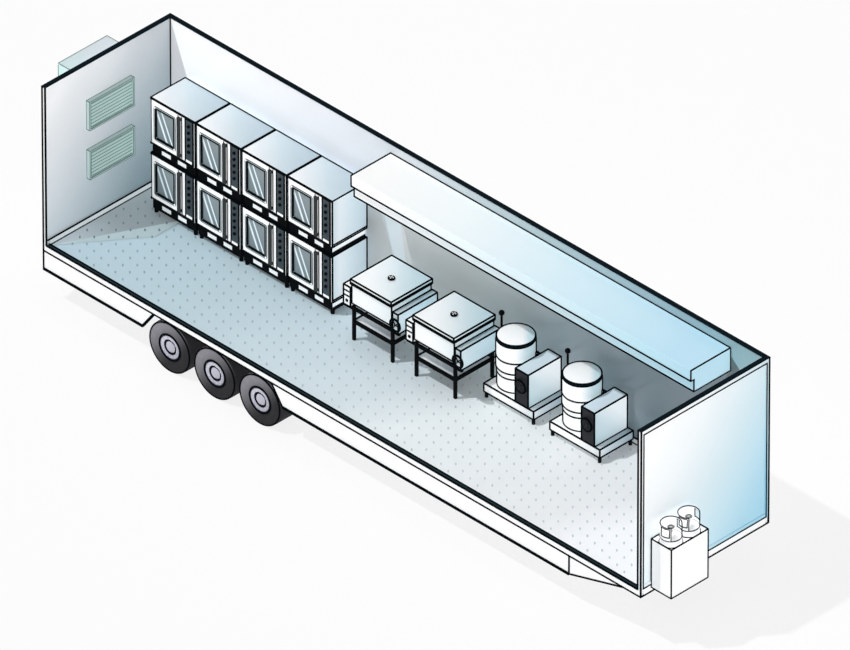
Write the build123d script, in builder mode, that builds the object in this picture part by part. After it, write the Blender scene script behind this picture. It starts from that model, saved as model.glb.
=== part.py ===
from build123d import *
import os

os.makedirs("parts", exist_ok=True)

# Field kitchen semi-trailer, drawn open at the roof and along its near side.
# Millimetres. +X runs forward, -Y is the near side, +Z is up and Z = 0 is the ground.

# Box body
body_length = 12192
body_width = 2600
deck_height = 860
rail_height = 110
wall_height = 2786
wall = 60
rail_flange = 60
rail_steel = 8
deck_thickness = 50
end_frame = 75
panel_recess = 12
skirting_height = 90
skirting = 20

# Cross members under the floor
member_count = 17
member_margin = 320
member_width = 50
member_steel = 6

# Chassis beams
beam_offset = 500
beam_depth = 260
neck_depth = 110
beam_flange = 120
beam_steel = 12
beam_rear = 150
beam_front = 120
neck_length = 2100
neck_ramp = 350

# Side skirts
skirt_depth = 318
skirt_steel = 20
skirt_fold_depth = 90
rear_skirt_length = 2280
skirt_slant = 230
front_skirt_start = 4700
front_skirt_end = 10750
nose_skirt_end = 11840
skirt_joint = 4

# Wheels and axles
tyre_radius = 420
tyre_width = 400
tyre_shoulder = 45
side_dish = 3
bulge_radius = 300
tyre_inset = 5
bead_radius = 197
rim_width = 360
rim_lip = 9
rim_lip_width = 10
rim_wall = 12
hub_radius = 118
hub_cap_radius = 91
groove_radius = 126
groove_depth = 32
drum_radius = 165
drum_wall = 15
drum_length = 170
drum_inboard = 45
hub_inboard = 12
hub_cap_inset = 4
disc_inset = 8
disc_steel = 14
first_axle = 2590
axle_pitch = 927
axle_radius = 63.5
spindle_radius = 45
spindle_clearance = 0.08
spindle_inset = 30
brake_plate_radius = 172
brake_plate = 12
brake_plate_gap = 4
seat_gap = 0.3
chamber_offset = 280
chamber_radius = 75
chamber_length = 150
chamber_back = 160
chamber_bracket = 20
tank_radius = 120
tank_length = 760
tank_member = 9
tank_drop = 140
strap_offset = 260
strap_width = 40

# Suspension
arm_width = 80
arm_depth = 70
arm_forward = 430
arm_rearward = 330
arm_eye_radius = 45
arm_pin_radius = 15
hanger_steel = 12
hanger_gap = 3
hanger_length = 150
spring_radius = 110
spring_pedestal = 60

# Coupler and landing gear
coupler_length = 1500
coupler_width = 1000
coupler_steel = 12
kingpin_setback = 914
kingpin_collar_radius = 36.5
kingpin_collar_length = 35
kingpin_neck_radius = 25.4
kingpin_neck_length = 30
kingpin_head_radius = 35.7
kingpin_head_length = 19
leg_place = 9450
leg_outer_width = 110
leg_inner_width = 90
leg_housing_bottom = 330
foot_size = 220
foot_steel = 14
ankle_radius = 32
ankle_height = 46
shaft_radius = 18
shaft_height = 545
crank_reach = 150
crank_radius = 14
crank_arm = 230
crank_grip = 110
brace_width = 40
brace_run = 420

# Rear guard and lamps
guard_height = 95
guard_side_gap = 180
guard_bottom = 400
guard_inset = 60
guard_bracket = 80
lamp_width = 280
lamp_height = 90
lamp_depth = 45
lamp_corner = 15

# Air conditioner on the rear wall, and its two wall grilles
hvac_depth = 490
hvac_width = 990
hvac_low = 800
hvac_high = 2670
hvac_corner = 30
louvre_count = 12
louvre_width = 860
louvre_low = 920
louvre_high = 60
louvre_pocket = 28
louvre_steel = 5
louvre_overlap = 2
fan_radius = 200
fan_spacing = 460
fan_height = 440
fan_well = 60
fan_hub_radius = 55
guard_rings = 3
guard_wire = 8
guard_set_back = 6
grille_start = 830
grille_length = 905
grille_rows = [(900, 500), (1766, 500)]  # height of the lower edge above the deck underside, height
grille_border = 22
grille_proud = 70
grille_gap = 1
slat_count = 8
slat_thickness = 8
slat_depth = 36
slat_rise = 20
slat_set_back = 30

# Exhaust hood on the far wall
hood_start = 4590
hood_length = 6880
hood_top = 2735
hood_step = 2552
hood_low = 2340
hood_reach = 805
hood_setback = 63
hood_steel = 18
filter_count = 14
filter_gap = 6
filter_thickness = 30
filter_low = 2400
filter_high = 2600

# Gas locker and cylinders on the front wall
locker_depth = 400
locker_start = 215
locker_length = 745
locker_low = 70
locker_high = 920
locker_steel = 10
cylinder_radius = 172
cylinder_spacing = 360
cylinder_shoulder = 880
cylinder_top = 970
collar_radius = 160
collar_wall = 8
collar_top = 1210
collar_cuts = [(-79, 140, 1044, 1190), (75, 140, 1044, 1190), (-2, 216, 985, 1240)]  # turn, width, low, high
valve_radius = 26
valve_waist_radius = 16
valve_body_height = 90
valve_wheel_radius = 50
valve_wheel_bore = 30
valve_wheel_low = 1118
valve_wheel_height = 20

# Ovens, two high
oven_count = 4
oven_start = 518
oven_pitch = 939
oven_width = 915
oven_wall_gap = 150
oven_depth = 700
oven_case_height = 810
oven_plinth_height = 165
oven_foot_height = 70
oven_foot_radius = 32
oven_foot_inset = 50
oven_sheet = 30
oven_plinth_inset = 15
control_width = 222
panel_place = 33
panel_width = 127
panel_low = 80
panel_high = 40
panel_proud = 7
knob_count = 5
knob_radius = 25
knob_height = 20
knob_first = 90
knob_spacing = 112
label_places = [(210, 180), (540, 170)]  # start along the oven, length
label_low = 55
label_height = 66
label_proud = 4
gasket_width = 50
gasket_proud = 6
boss_radius = 17
boss_inset = 25
boss_proud = 4
door_width = 690
door_thickness = 50
door_gap = 5
door_seal_gap = 0.5
door_pin_inset = 12
door_pin_radius = 6
door_pin_length = 20
pin_clearance = 0.1
window_left = 60
window_low = 60
window_width = 450
window_height = 600
window_corner = 35
pane_corner = 12
glass_thickness = 16
handle_width = 60
handle_left = 567
handle_proud = 40
handle_margin = 25

# Tilting braising pans
pan_count = 2
pan_start = 4860
pan_pitch = 1277
pan_wall_gap = 250
lid_width = 830
lid_length = 840
lid_height = 82
lid_sheet = 12
lid_low = 996
tub_inset = 9
tub_set_back = 20
tub_depth = 345
tub_wall = 12
leg_size = 44
leg_place_x = 28
leg_span = 790
leg_top = 600
stretcher_top = 345
shelf_steel = 6
bearer_top = 575
console_height = 340
left_console = 140
right_console = 110
console_gap = 22
console_front = 10
console_back = 30
left_gap = 12
tilt_set_back = 80
tilt_height = 860
trunnion_radius = 20
trunnion_reach = 40
trunnion_set_back = 1
pan_knob_radius = 50
pan_knob_height = 30
hinge_radius = 12
hinge_set_back = 14
hinge_drop = 11
hinge_length = 110
key_width = 100
key_height = 26
key_proud = 6
key_drops = [85, 170]
button_drop = 255
button_radius = 18
button_proud = 12
hand_wheel_radius = 100
hand_wheel_rim = 9
hand_wheel_reach = 50
hand_wheel_stand = 22

# Boiling kettles
kettle_count = 2
kettle_start = 7220
kettle_pitch = 1342
kettle_wall_gap = 50
base_length = 1010
base_width = 680
base_low = 100
base_high = 240
kettle_foot_radius = 28
pot_place = 318
pot_back = 335
pot_radius = 284
pot_foot_radius = 269
pot_foot_height = 235
pot_taper = 86
pot_rim = 1050
pot_wall = 22
bowl_bottom = 400
bowl_dish = 110
kettle_lid_rim = 30
kettle_lid_dome = 62
kettle_hinge_radius = 12
kettle_hinge_set_back = 20
kettle_hinge_length = 120
cabinet_start = 640
cabinet_length = 260
cabinet_high = 825
cabinet_back = 10
kettle_wheel_radius = 105
kettle_wheel_height = 580
pipe_radius = 32
pipe_height = 785
pipe_back = 510
lever_radius = 18
lever_height = 264
lever_ball = 44
lever_out = 348
lever_back = 56
lever_foot = 60
lever_arm = 40

# Places worked out from the sizes
rear_x = hvac_depth - (hvac_depth + body_length + locker_depth) / 2
front_x = rear_x + body_length
mid_x = (rear_x + front_x) / 2
near_y = -body_width / 2
far_y = body_width / 2
floor_z = deck_height + rail_height
top_z = floor_z + wall_height
hub_z = tyre_radius
axle_places = [("rear", rear_x + first_axle), ("middle", rear_x + first_axle + axle_pitch),
               ("front", rear_x + first_axle + 2 * axle_pitch)]
sides = [("near", -1), ("far", 1)]


def block(x, y, z, mode=Mode.ADD):
    # An upright box between two corners of the part in hand
    with Locations((x[0], y[0], z[0])):
        Box(x[1] - x[0], y[1] - y[0], z[1] - z[0], align=Align.MIN, mode=mode)


# Floor frame: side and end channels, cross members and the deck plate
with BuildPart() as floor_rails:
    with BuildSketch(Plane.YZ.offset(rear_x)):
        with Locations((near_y, deck_height)):
            Rectangle(rail_flange, rail_height, align=Align.MIN)
        with Locations((near_y + rail_steel, deck_height + rail_steel)):
            Rectangle(rail_flange, rail_height - 2 * rail_steel, align=Align.MIN, mode=Mode.SUBTRACT)
    extrude(amount=body_length)
    mirror(about=Plane.XZ)
    with BuildSketch(Plane.XZ):
        with Locations((rear_x, deck_height)):
            Rectangle(rail_flange, rail_height, align=Align.MIN)
        with Locations((rear_x + rail_steel, deck_height + rail_steel)):
            Rectangle(rail_flange, rail_height - 2 * rail_steel, align=Align.MIN, mode=Mode.SUBTRACT)
        mirror(about=Plane.YZ.offset(mid_x))
    extrude(amount=body_width / 2 - rail_flange - seat_gap, both=True)
floor_rails.part.label = "floor_rails"
export_step(floor_rails.part, "parts/floor_rails.step")

member_height = rail_height - deck_thickness
member_pitch = (body_length - 2 * member_margin) / (member_count - 1)
with BuildPart() as cross_members:
    with BuildSketch(Plane.XZ):
        with Locations((mid_x, deck_height + member_height / 2)):
            with GridLocations(member_pitch, 0, member_count, 1):
                Rectangle(member_width, member_height)
            with GridLocations(member_pitch, 0, member_count, 1):
                with Locations((member_steel, 0)):
                    Rectangle(member_width, member_height - 2 * member_steel, mode=Mode.SUBTRACT)
    extrude(amount=body_width / 2 - rail_flange, both=True)
cross_members.part.label = "cross_members"
export_step(cross_members.part, "parts/cross_members.step")

with BuildPart() as floor_deck:
    block((rear_x + rail_flange, front_x - rail_flange), (near_y + rail_flange, far_y - rail_flange),
          (floor_z - deck_thickness, floor_z))
floor_deck.part.label = "floor_deck"
export_step(floor_deck.part, "parts/floor_deck.step")

# Walls, each one whole panel
with BuildPart() as wall_rear:
    with BuildSketch(Plane.YZ.offset(rear_x)):
        with Locations((near_y, floor_z)):
            Rectangle(body_width, wall_height, align=Align.MIN)
        for low, height in grille_rows:
            with Locations((near_y + grille_start, deck_height + low)):
                Rectangle(grille_length, height, align=Align.MIN, mode=Mode.SUBTRACT)
    extrude(amount=wall)
wall_rear.part.label = "wall_rear"
export_step(wall_rear.part, "parts/wall_rear.step")

with BuildPart() as wall_front:
    block((front_x - wall, front_x), (near_y, far_y), (floor_z, top_z))
    with BuildSketch(Plane.YZ.offset(front_x)):
        with Locations((0, floor_z + wall_height / 2)):
            Rectangle(body_width - 2 * end_frame, wall_height - 2 * end_frame)
    extrude(amount=-panel_recess, mode=Mode.SUBTRACT)
wall_front.part.label = "wall_front"
export_step(wall_front.part, "parts/wall_front.step")

with BuildPart() as wall_far:
    block((rear_x + wall, front_x - wall), (far_y - wall, far_y), (floor_z, top_z))
wall_far.part.label = "wall_far"
export_step(wall_far.part, "parts/wall_far.step")

with BuildPart() as floor_skirting:
    block((rear_x + wall, rear_x + wall + skirting), (near_y + rail_flange, far_y - wall),
          (floor_z, floor_z + skirting_height))
    block((rear_x + wall, front_x - wall), (far_y - wall - skirting, far_y - wall),
          (floor_z, floor_z + skirting_height))
floor_skirting.part.label = "floor_skirting"
export_step(floor_skirting.part, "parts/floor_skirting.step")

# Chassis beams: a tapered web with one flange bent all round it, and the hangers of the axles
arm_top = hub_z - axle_radius
arm_low = arm_top - arm_depth
eye_z = arm_top
beam_top = deck_height
beam_low = deck_height - beam_depth
neck_low = deck_height - neck_depth
beam_start = rear_x + beam_rear
beam_end = front_x - beam_front
neck_start = beam_end - neck_length
with BuildPart() as chassis_beams:
    with BuildSketch(Plane.XZ.offset(beam_offset)) as beam_side:
        with BuildLine():
            Polyline((beam_start, beam_top), (beam_end, beam_top), (beam_end, neck_low),
                     (neck_start, neck_low), (neck_start - neck_ramp, beam_low),
                     (beam_start, beam_low), close=True)
        make_face()
    extrude(amount=beam_steel / 2, both=True)
    with BuildSketch(Plane.XZ.offset(beam_offset)):
        add(beam_side.sketch_local)
        offset(amount=-beam_steel, mode=Mode.SUBTRACT)
    extrude(amount=beam_flange / 2, both=True)
    for place, x in axle_places:
        eye_x = x + arm_forward
        with BuildSketch(Plane.XZ.offset(beam_offset)):
            with BuildLine():
                Polyline((eye_x - hanger_length, beam_low), (eye_x + hanger_length / 2, beam_low),
                         (eye_x + arm_eye_radius, eye_z - arm_eye_radius),
                         (eye_x - arm_eye_radius, eye_z - arm_eye_radius), close=True)
            make_face()
        extrude(amount=arm_width / 2 + hanger_gap + hanger_steel, both=True)
        with BuildSketch(Plane.XZ.offset(beam_offset)):
            with BuildLine():
                Polyline((eye_x - hanger_length, beam_low), (eye_x + hanger_length / 2, beam_low),
                         (eye_x + 2 * arm_eye_radius, eye_z - 2 * arm_eye_radius),
                         (eye_x - 2 * arm_eye_radius, eye_z - 2 * arm_eye_radius), close=True)
            make_face()
        extrude(amount=arm_width / 2 + hanger_gap, both=True, mode=Mode.SUBTRACT)
        with BuildSketch(Plane.XZ.offset(beam_offset)):
            with Locations((eye_x, eye_z)):
                Circle(arm_pin_radius)
        extrude(amount=arm_width / 2 + hanger_gap + hanger_steel, both=True)
    mirror(about=Plane.XZ)
chassis_beams.part.label = "chassis_beams"
export_step(chassis_beams.part, "parts/chassis_beams.step")

# Side skirts: shallow trays that open inboard
skirt_low = deck_height - skirt_depth
skirt_outlines = [
    [(0, deck_height), (rear_skirt_length, deck_height),
     (rear_skirt_length - skirt_slant, skirt_low), (0, skirt_low)],
    [(front_skirt_start, deck_height), (front_skirt_end, deck_height),
     (front_skirt_end, skirt_low), (front_skirt_start + skirt_slant, skirt_low)],
    [(front_skirt_end + skirt_joint, deck_height), (nose_skirt_end, deck_height),
     (front_skirt_end + skirt_joint, skirt_low)],
]
with BuildPart() as side_skirts:
    for outline in skirt_outlines:
        with BuildSketch(Plane.XZ.offset(-near_y)) as skirt_face:
            with BuildLine():
                Polyline(*[(rear_x + along, height) for along, height in outline], close=True)
            make_face()
        extrude(amount=-skirt_fold_depth)
        with BuildSketch(Plane.XZ.offset(-near_y - skirt_steel)):
            offset(skirt_face.sketch_local, amount=-skirt_steel)
        extrude(amount=skirt_steel - skirt_fold_depth, mode=Mode.SUBTRACT)
    mirror(about=Plane.XZ)
side_skirts.part.label = "side_skirts"
export_step(side_skirts.part, "parts/side_skirts.step")

# Axles: one turned beam each, stepped down to the spindles that carry the hubs
wheel_center = body_width / 2 - tyre_inset - tyre_width / 2
spindle_end = wheel_center + rim_width / 2 - spindle_inset
drum_inner = wheel_center - rim_width / 2 - drum_inboard
plate_outer = drum_inner - brake_plate_gap
with BuildPart() as axles:
    for place, x in axle_places:
        with BuildSketch(Plane.XY.offset(hub_z)):
            with BuildLine():
                Polyline((x, 0), (x + axle_radius, 0), (x + axle_radius, plate_outer - brake_plate),
                         (x + brake_plate_radius, plate_outer - brake_plate),
                         (x + brake_plate_radius, plate_outer), (x + spindle_radius, plate_outer),
                         (x + spindle_radius, spindle_end), (x, spindle_end), close=True)
            make_face()
        revolve(axis=Axis((x, 0, hub_z), (0, 1, 0)))
        block((x - chamber_back - chamber_bracket, x),
              (chamber_offset - chamber_bracket / 2, chamber_offset + chamber_bracket / 2),
              (hub_z - chamber_bracket, hub_z + chamber_bracket))
        with Locations(Location((x - chamber_back, chamber_offset, hub_z), (0, -90, 0))):
            Cylinder(chamber_radius, chamber_length, align=(Align.CENTER, Align.CENTER, Align.MIN))
    mirror(about=Plane.XZ)
axles.part.label = "axles"
export_step(axles.part, "parts/axles.step")

# Wheels: tyre and hub with rim and brake drum, turned about the axle
rim_radius = bead_radius - seat_gap
lip_radius = bead_radius + rim_lip
bead_edge = rim_width / 2 - seat_gap
hub_inner = -rim_width / 2 - hub_inboard
cap_end = rim_width / 2 + rim_lip_width - hub_cap_inset
disc_face = rim_width / 2 + rim_lip_width - disc_inset
groove_floor = disc_face - groove_depth
for place, x in axle_places:
    for side, sign in sides:
        y = sign * wheel_center
        with BuildPart() as tyre:
            with BuildSketch(Plane.XY.offset(hub_z)):
                with BuildLine() as tyre_half:
                    Polyline((x + bead_radius, y), (x + bead_radius, y + bead_edge),
                             (x + lip_radius + seat_gap, y + bead_edge))
                    Polyline((x + lip_radius + seat_gap, y + bead_edge),
                             (x + bulge_radius, y + tyre_width / 2),
                             (x + tyre_radius - tyre_shoulder, y + tyre_width / 2 - side_dish),
                             (x + tyre_radius - tyre_shoulder / 4, y + tyre_width / 2 - tyre_shoulder / 4),
                             (x + tyre_radius, y + tyre_width / 2 - tyre_shoulder), (x + tyre_radius, y))
                    mirror(about=Plane.XZ.offset(-y))
                make_face()
            revolve(axis=Axis((x, 0, hub_z), (0, 1, 0)))
        tyre.part.label = f"tyre_{place}_{side}"
        export_step(tyre.part, f"parts/tyre_{place}_{side}.step")

        # Each pair is a radius and a distance outboard of the wheel's middle plane
        bore = spindle_radius + spindle_clearance
        rim_inner = rim_radius - rim_wall
        edge = rim_width / 2
        section = [
            (rim_inner, -edge - rim_lip_width), (lip_radius, -edge - rim_lip_width), (lip_radius, -edge),
            (rim_radius, -edge), (rim_radius, edge), (lip_radius, edge),
            (lip_radius, edge + rim_lip_width), (rim_inner, edge + rim_lip_width),
            (rim_inner, disc_face), (groove_radius, disc_face), (groove_radius, groove_floor),
            (hub_cap_radius, groove_floor), (hub_cap_radius, cap_end - disc_steel),
            (hub_cap_radius - disc_steel, cap_end), (0, cap_end),
            (0, spindle_end - wheel_center + seat_gap), (bore, spindle_end - wheel_center + seat_gap),
            (bore, hub_inner), (drum_radius - 2 * drum_wall, hub_inner),
            (drum_radius - drum_wall, drum_inner - wheel_center), (drum_radius, drum_inner - wheel_center),
            (drum_radius, drum_inner - wheel_center + drum_length),
            (hub_radius - disc_steel, drum_inner - wheel_center + drum_length),
            (hub_radius - disc_steel, groove_floor - disc_steel), (hub_radius, groove_floor - disc_steel),
            (rim_inner, disc_face - 2 * disc_steel)]
        with BuildPart() as rim:
            with BuildSketch(Plane.XY.offset(hub_z)):
                with BuildLine():
                    Polyline(*[(x + radius, y + sign * out) for radius, out in section], close=True)
                make_face()
            revolve(axis=Axis((x, 0, hub_z), (0, 1, 0)))
        rim.part.label = f"rim_{place}_{side}"
        export_step(rim.part, f"parts/rim_{place}_{side}.step")

# Suspension: trailing arms under the axles, and air springs
with BuildPart() as trailing_arms:
    for place, x in axle_places:
        for offset_y in (-1, 1):
            with BuildSketch(Plane.XZ.offset(offset_y * beam_offset)):
                with BuildLine():
                    Polyline((x - arm_rearward, arm_top), (x + arm_width, arm_top),
                             (x + arm_forward, eye_z + arm_eye_radius / 2),
                             (x + arm_forward, eye_z - arm_eye_radius / 2), (x + arm_width, arm_low),
                             (x - arm_rearward, arm_low + arm_depth / 2), close=True)
                make_face()
                with Locations((x + arm_forward, eye_z)):
                    Circle(arm_eye_radius - seat_gap)
                    Circle(arm_pin_radius + seat_gap, mode=Mode.SUBTRACT)
                with Locations((x, hub_z)):
                    Circle(axle_radius + seat_gap, mode=Mode.SUBTRACT)
            extrude(amount=arm_width / 2, both=True)
trailing_arms.part.label = "trailing_arms"
export_step(trailing_arms.part, "parts/trailing_arms.step")

with BuildPart() as air_springs:
    for place, x in axle_places:
        for offset_y in (-1, 1):
            spring_x = x - arm_rearward + spring_radius / 2
            with Locations((spring_x, offset_y * beam_offset, arm_top + seat_gap)):
                Cylinder(spring_radius / 2, beam_low - arm_top - seat_gap,
                         align=(Align.CENTER, Align.CENTER, Align.MIN))
            with Locations((spring_x, offset_y * beam_offset, beam_low)):
                Cylinder(spring_radius, beam_low - arm_top - spring_pedestal,
                         align=(Align.CENTER, Align.CENTER, Align.MAX))
air_springs.part.label = "air_springs"
export_step(air_springs.part, "parts/air_springs.step")

# Air tank, hung from a cross member by two straps
tank_x = rear_x + member_margin + tank_member * member_pitch
tank_z = deck_height - tank_drop
with BuildPart() as air_tank:
    with Locations(Location((tank_x, 0, tank_z), (90, 0, 0))):
        Cylinder(tank_radius, tank_length)
    fillet(air_tank.edges().filter_by(GeomType.CIRCLE), tank_radius / 3)
    for sign in (-1, 1):
        block((tank_x - member_width / 2, tank_x + member_width / 2),
              (sign * strap_offset - strap_width / 2, sign * strap_offset + strap_width / 2),
              (tank_z, deck_height - seat_gap))
air_tank.part.label = "air_tank"
export_step(air_tank.part, "parts/air_tank.step")

# Coupler plate with its kingpin, under the neck
kingpin_x = front_x - kingpin_setback
coupler_low = neck_low - coupler_steel
with BuildPart() as coupler:
    block((beam_end - coupler_length, beam_end), (-coupler_width / 2, coupler_width / 2),
          (coupler_low, neck_low))
    with BuildSketch(Plane.XZ):
        with BuildLine():
            collar_end = coupler_low - kingpin_collar_length
            neck_end = collar_end - kingpin_neck_length
            Polyline((kingpin_x, coupler_low), (kingpin_x + kingpin_collar_radius, coupler_low),
                     (kingpin_x + kingpin_collar_radius, collar_end),
                     (kingpin_x + kingpin_neck_radius, collar_end),
                     (kingpin_x + kingpin_neck_radius, neck_end), (kingpin_x + kingpin_head_radius, neck_end),
                     (kingpin_x + kingpin_head_radius, neck_end - kingpin_head_length),
                     (kingpin_x, neck_end - kingpin_head_length), close=True)
        make_face()
    revolve(axis=Axis((kingpin_x, 0, 0), (0, 0, 1)))
coupler.part.label = "coupler"
export_step(coupler.part, "parts/coupler.step")

# Landing gear: square telescopic legs, a cross shaft and braces
leg_x = rear_x + leg_place
leg_offset = beam_offset + beam_flange / 2 + leg_outer_width / 2
with BuildPart() as landing_gear:
    for side, sign in sides:
        with Locations((leg_x, sign * leg_offset, leg_housing_bottom)):
            Box(leg_outer_width, leg_outer_width, deck_height - leg_housing_bottom,
                align=(Align.CENTER, Align.CENTER, Align.MIN))
        with Locations((leg_x, sign * leg_offset, foot_steel + ankle_height)):
            Box(leg_inner_width, leg_inner_width, leg_housing_bottom - foot_steel - ankle_height,
                align=(Align.CENTER, Align.CENTER, Align.MIN))
        with Locations((leg_x, sign * leg_offset, foot_steel)):
            Cylinder(ankle_radius, ankle_height, align=(Align.CENTER, Align.CENTER, Align.MIN))
        with Locations((leg_x, sign * leg_offset, 0)):
            Box(foot_size, foot_size, foot_steel, align=(Align.CENTER, Align.CENTER, Align.MIN))
        with BuildSketch(Plane.XZ.offset(-sign * (beam_offset + brace_width / 4))):
            with BuildLine():
                Polyline((leg_x, leg_housing_bottom + brace_width), (leg_x, leg_housing_bottom),
                         (leg_x - brace_run - 2 * brace_width, beam_low),
                         (leg_x - brace_run, beam_low), close=True)
            make_face()
        extrude(amount=-sign * (leg_offset - beam_offset - brace_width / 4))
    with BuildSketch(Plane.XZ):
        with Locations((leg_x, shaft_height)):
            Circle(shaft_radius)
    extrude(amount=leg_offset - leg_outer_width / 2, both=True)
    crank_y = -leg_offset - leg_outer_width / 2 - crank_reach
    with Locations(Location((leg_x, crank_y, shaft_height), (-90, 0, 0))):
        Cylinder(crank_radius, crank_reach + crank_radius, align=(Align.CENTER, Align.CENTER, Align.MIN))
    with Locations((leg_x, crank_y, shaft_height + crank_radius)):
        Cylinder(crank_radius, crank_arm, align=(Align.CENTER, Align.CENTER, Align.MAX))
    with Locations(Location((leg_x, crank_y + crank_radius, shaft_height - crank_arm), (90, 0, 0))):
        Cylinder(crank_radius, crank_grip, align=(Align.CENTER, Align.CENTER, Align.MIN))
landing_gear.part.label = "landing_gear"
export_step(landing_gear.part, "parts/landing_gear.step")

# Rear guard bar on two brackets, with a lamp unit at each end
guard_x = rear_x + guard_inset
guard_length = body_width - 2 * guard_side_gap
with BuildPart() as rear_guard:
    block((guard_x, guard_x + guard_height), (-guard_length / 2, guard_length / 2),
          (guard_bottom, guard_bottom + guard_height))
    for side, sign in sides:
        y = sign * beam_offset
        block((beam_start, beam_start + guard_bracket), (y - guard_bracket / 2, y + guard_bracket / 2),
              (guard_bottom, beam_low))
        block((guard_x, beam_start + guard_bracket), (y - guard_bracket / 2, y + guard_bracket / 2),
              (guard_bottom, guard_bottom + guard_height))
rear_guard.part.label = "rear_guard"
export_step(rear_guard.part, "parts/rear_guard.step")

with BuildPart() as tail_lamps:
    for side, sign in sides:
        with Locations((guard_x - lamp_depth / 2, sign * (guard_length - lamp_width) / 2,
                        guard_bottom + guard_height / 2)):
            Box(lamp_depth, lamp_width, lamp_height)
    fillet(tail_lamps.edges().filter_by(Axis.X), lamp_corner)
tail_lamps.part.label = "tail_lamps"
export_step(tail_lamps.part, "parts/tail_lamps.step")

# Air conditioner: a case with rounded corners against the rear wall
hvac_x = rear_x - hvac_depth
with BuildPart() as hvac_case:
    with BuildSketch(Plane.YZ.offset(hvac_x)):
        with Locations((0, deck_height + (hvac_low + hvac_high) / 2)):
            RectangleRounded(hvac_width, hvac_high - hvac_low, hvac_corner)
    extrude(amount=hvac_depth)
    louvre_z = (deck_height + hvac_low + louvre_low, deck_height + hvac_high - louvre_high)
    block((hvac_x, hvac_x + louvre_pocket), (-louvre_width / 2, louvre_width / 2), louvre_z, Mode.SUBTRACT)
    louvre_pitch = (louvre_z[1] - louvre_z[0]) / louvre_count
    with BuildSketch(Plane.XZ):
        for number in range(louvre_count):
            slat_z = louvre_z[0] + (number + 0.5) * louvre_pitch
            with BuildLine():
                Polyline((hvac_x + louvre_steel, slat_z - louvre_pitch / 3),
                         (hvac_x + louvre_pocket + louvre_overlap, slat_z + louvre_pitch / 3 - louvre_steel),
                         (hvac_x + louvre_pocket + louvre_overlap, slat_z + louvre_pitch / 3),
                         (hvac_x + louvre_steel, slat_z - louvre_pitch / 3 + louvre_steel), close=True)
            make_face()
    extrude(amount=louvre_width / 2 + louvre_overlap, both=True)
    with Locations(Location((hvac_x, 0, deck_height + hvac_low + fan_height), (0, 90, 0))):
        with GridLocations(0, fan_spacing, 1, 2):
            Cylinder(fan_radius, fan_well, mode=Mode.SUBTRACT, align=(Align.CENTER, Align.CENTER, Align.MIN))
    with BuildSketch(Plane.YZ.offset(hvac_x + guard_set_back)):
        with Locations((0, deck_height + hvac_low + fan_height)):
            with GridLocations(fan_spacing, 0, 2, 1):
                for number in range(1, guard_rings + 1):
                    ring_radius = fan_radius * number / (guard_rings + 0.5)
                    Circle(ring_radius)
                    Circle(ring_radius - guard_wire, mode=Mode.SUBTRACT)
                Rectangle(2 * (fan_radius + louvre_overlap), guard_wire)
                Rectangle(guard_wire, 2 * (fan_radius + louvre_overlap))
    extrude(amount=guard_wire)
    with Locations(Location((hvac_x + guard_set_back, 0, deck_height + hvac_low + fan_height), (0, 90, 0))):
        with GridLocations(0, fan_spacing, 1, 2):
            Cylinder(fan_hub_radius, fan_well, align=(Align.CENTER, Align.CENTER, Align.MIN))
hvac_case.part.label = "hvac_case"
export_step(hvac_case.part, "parts/hvac_case.step")

# Wall grilles: a proud border, a sleeve in the wall and sloping slats
with BuildPart() as wall_grilles:
    for low, height in grille_rows:
        center = (near_y + grille_start + grille_length / 2, deck_height + low + height / 2)
        inner_length = grille_length - 2 * grille_border
        inner_height = height - 2 * grille_border
        with BuildSketch(Plane.YZ.offset(rear_x + wall + seat_gap)):
            with Locations(center):
                Rectangle(grille_length + 2 * grille_gap, height + 2 * grille_gap)
                Rectangle(inner_length, inner_height, mode=Mode.SUBTRACT)
        extrude(amount=grille_proud)
        with BuildSketch(Plane.YZ.offset(rear_x + seat_gap)):
            with Locations(center):
                Rectangle(grille_length - 2 * grille_gap, height - 2 * grille_gap)
                Rectangle(inner_length, inner_height, mode=Mode.SUBTRACT)
        extrude(amount=wall)
        slat_pitch = inner_height / slat_count
        for slat in range(slat_count):
            slat_z = center[1] - inner_height / 2 + (slat + 0.5) * slat_pitch
            slat_x = rear_x + wall + grille_proud - slat_set_back - slat_depth
            with BuildSketch(Plane.XZ.offset(-center[0])):
                with BuildLine():
                    Polyline((slat_x, slat_z + slat_rise - slat_thickness), (slat_x, slat_z + slat_rise),
                             (slat_x + slat_depth, slat_z - slat_rise + slat_thickness),
                             (slat_x + slat_depth, slat_z - slat_rise), close=True)
                make_face()
            extrude(amount=inner_length / 2, both=True)
wall_grilles.part.label = "wall_grilles"
export_step(wall_grilles.part, "parts/wall_grilles.step")

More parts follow.
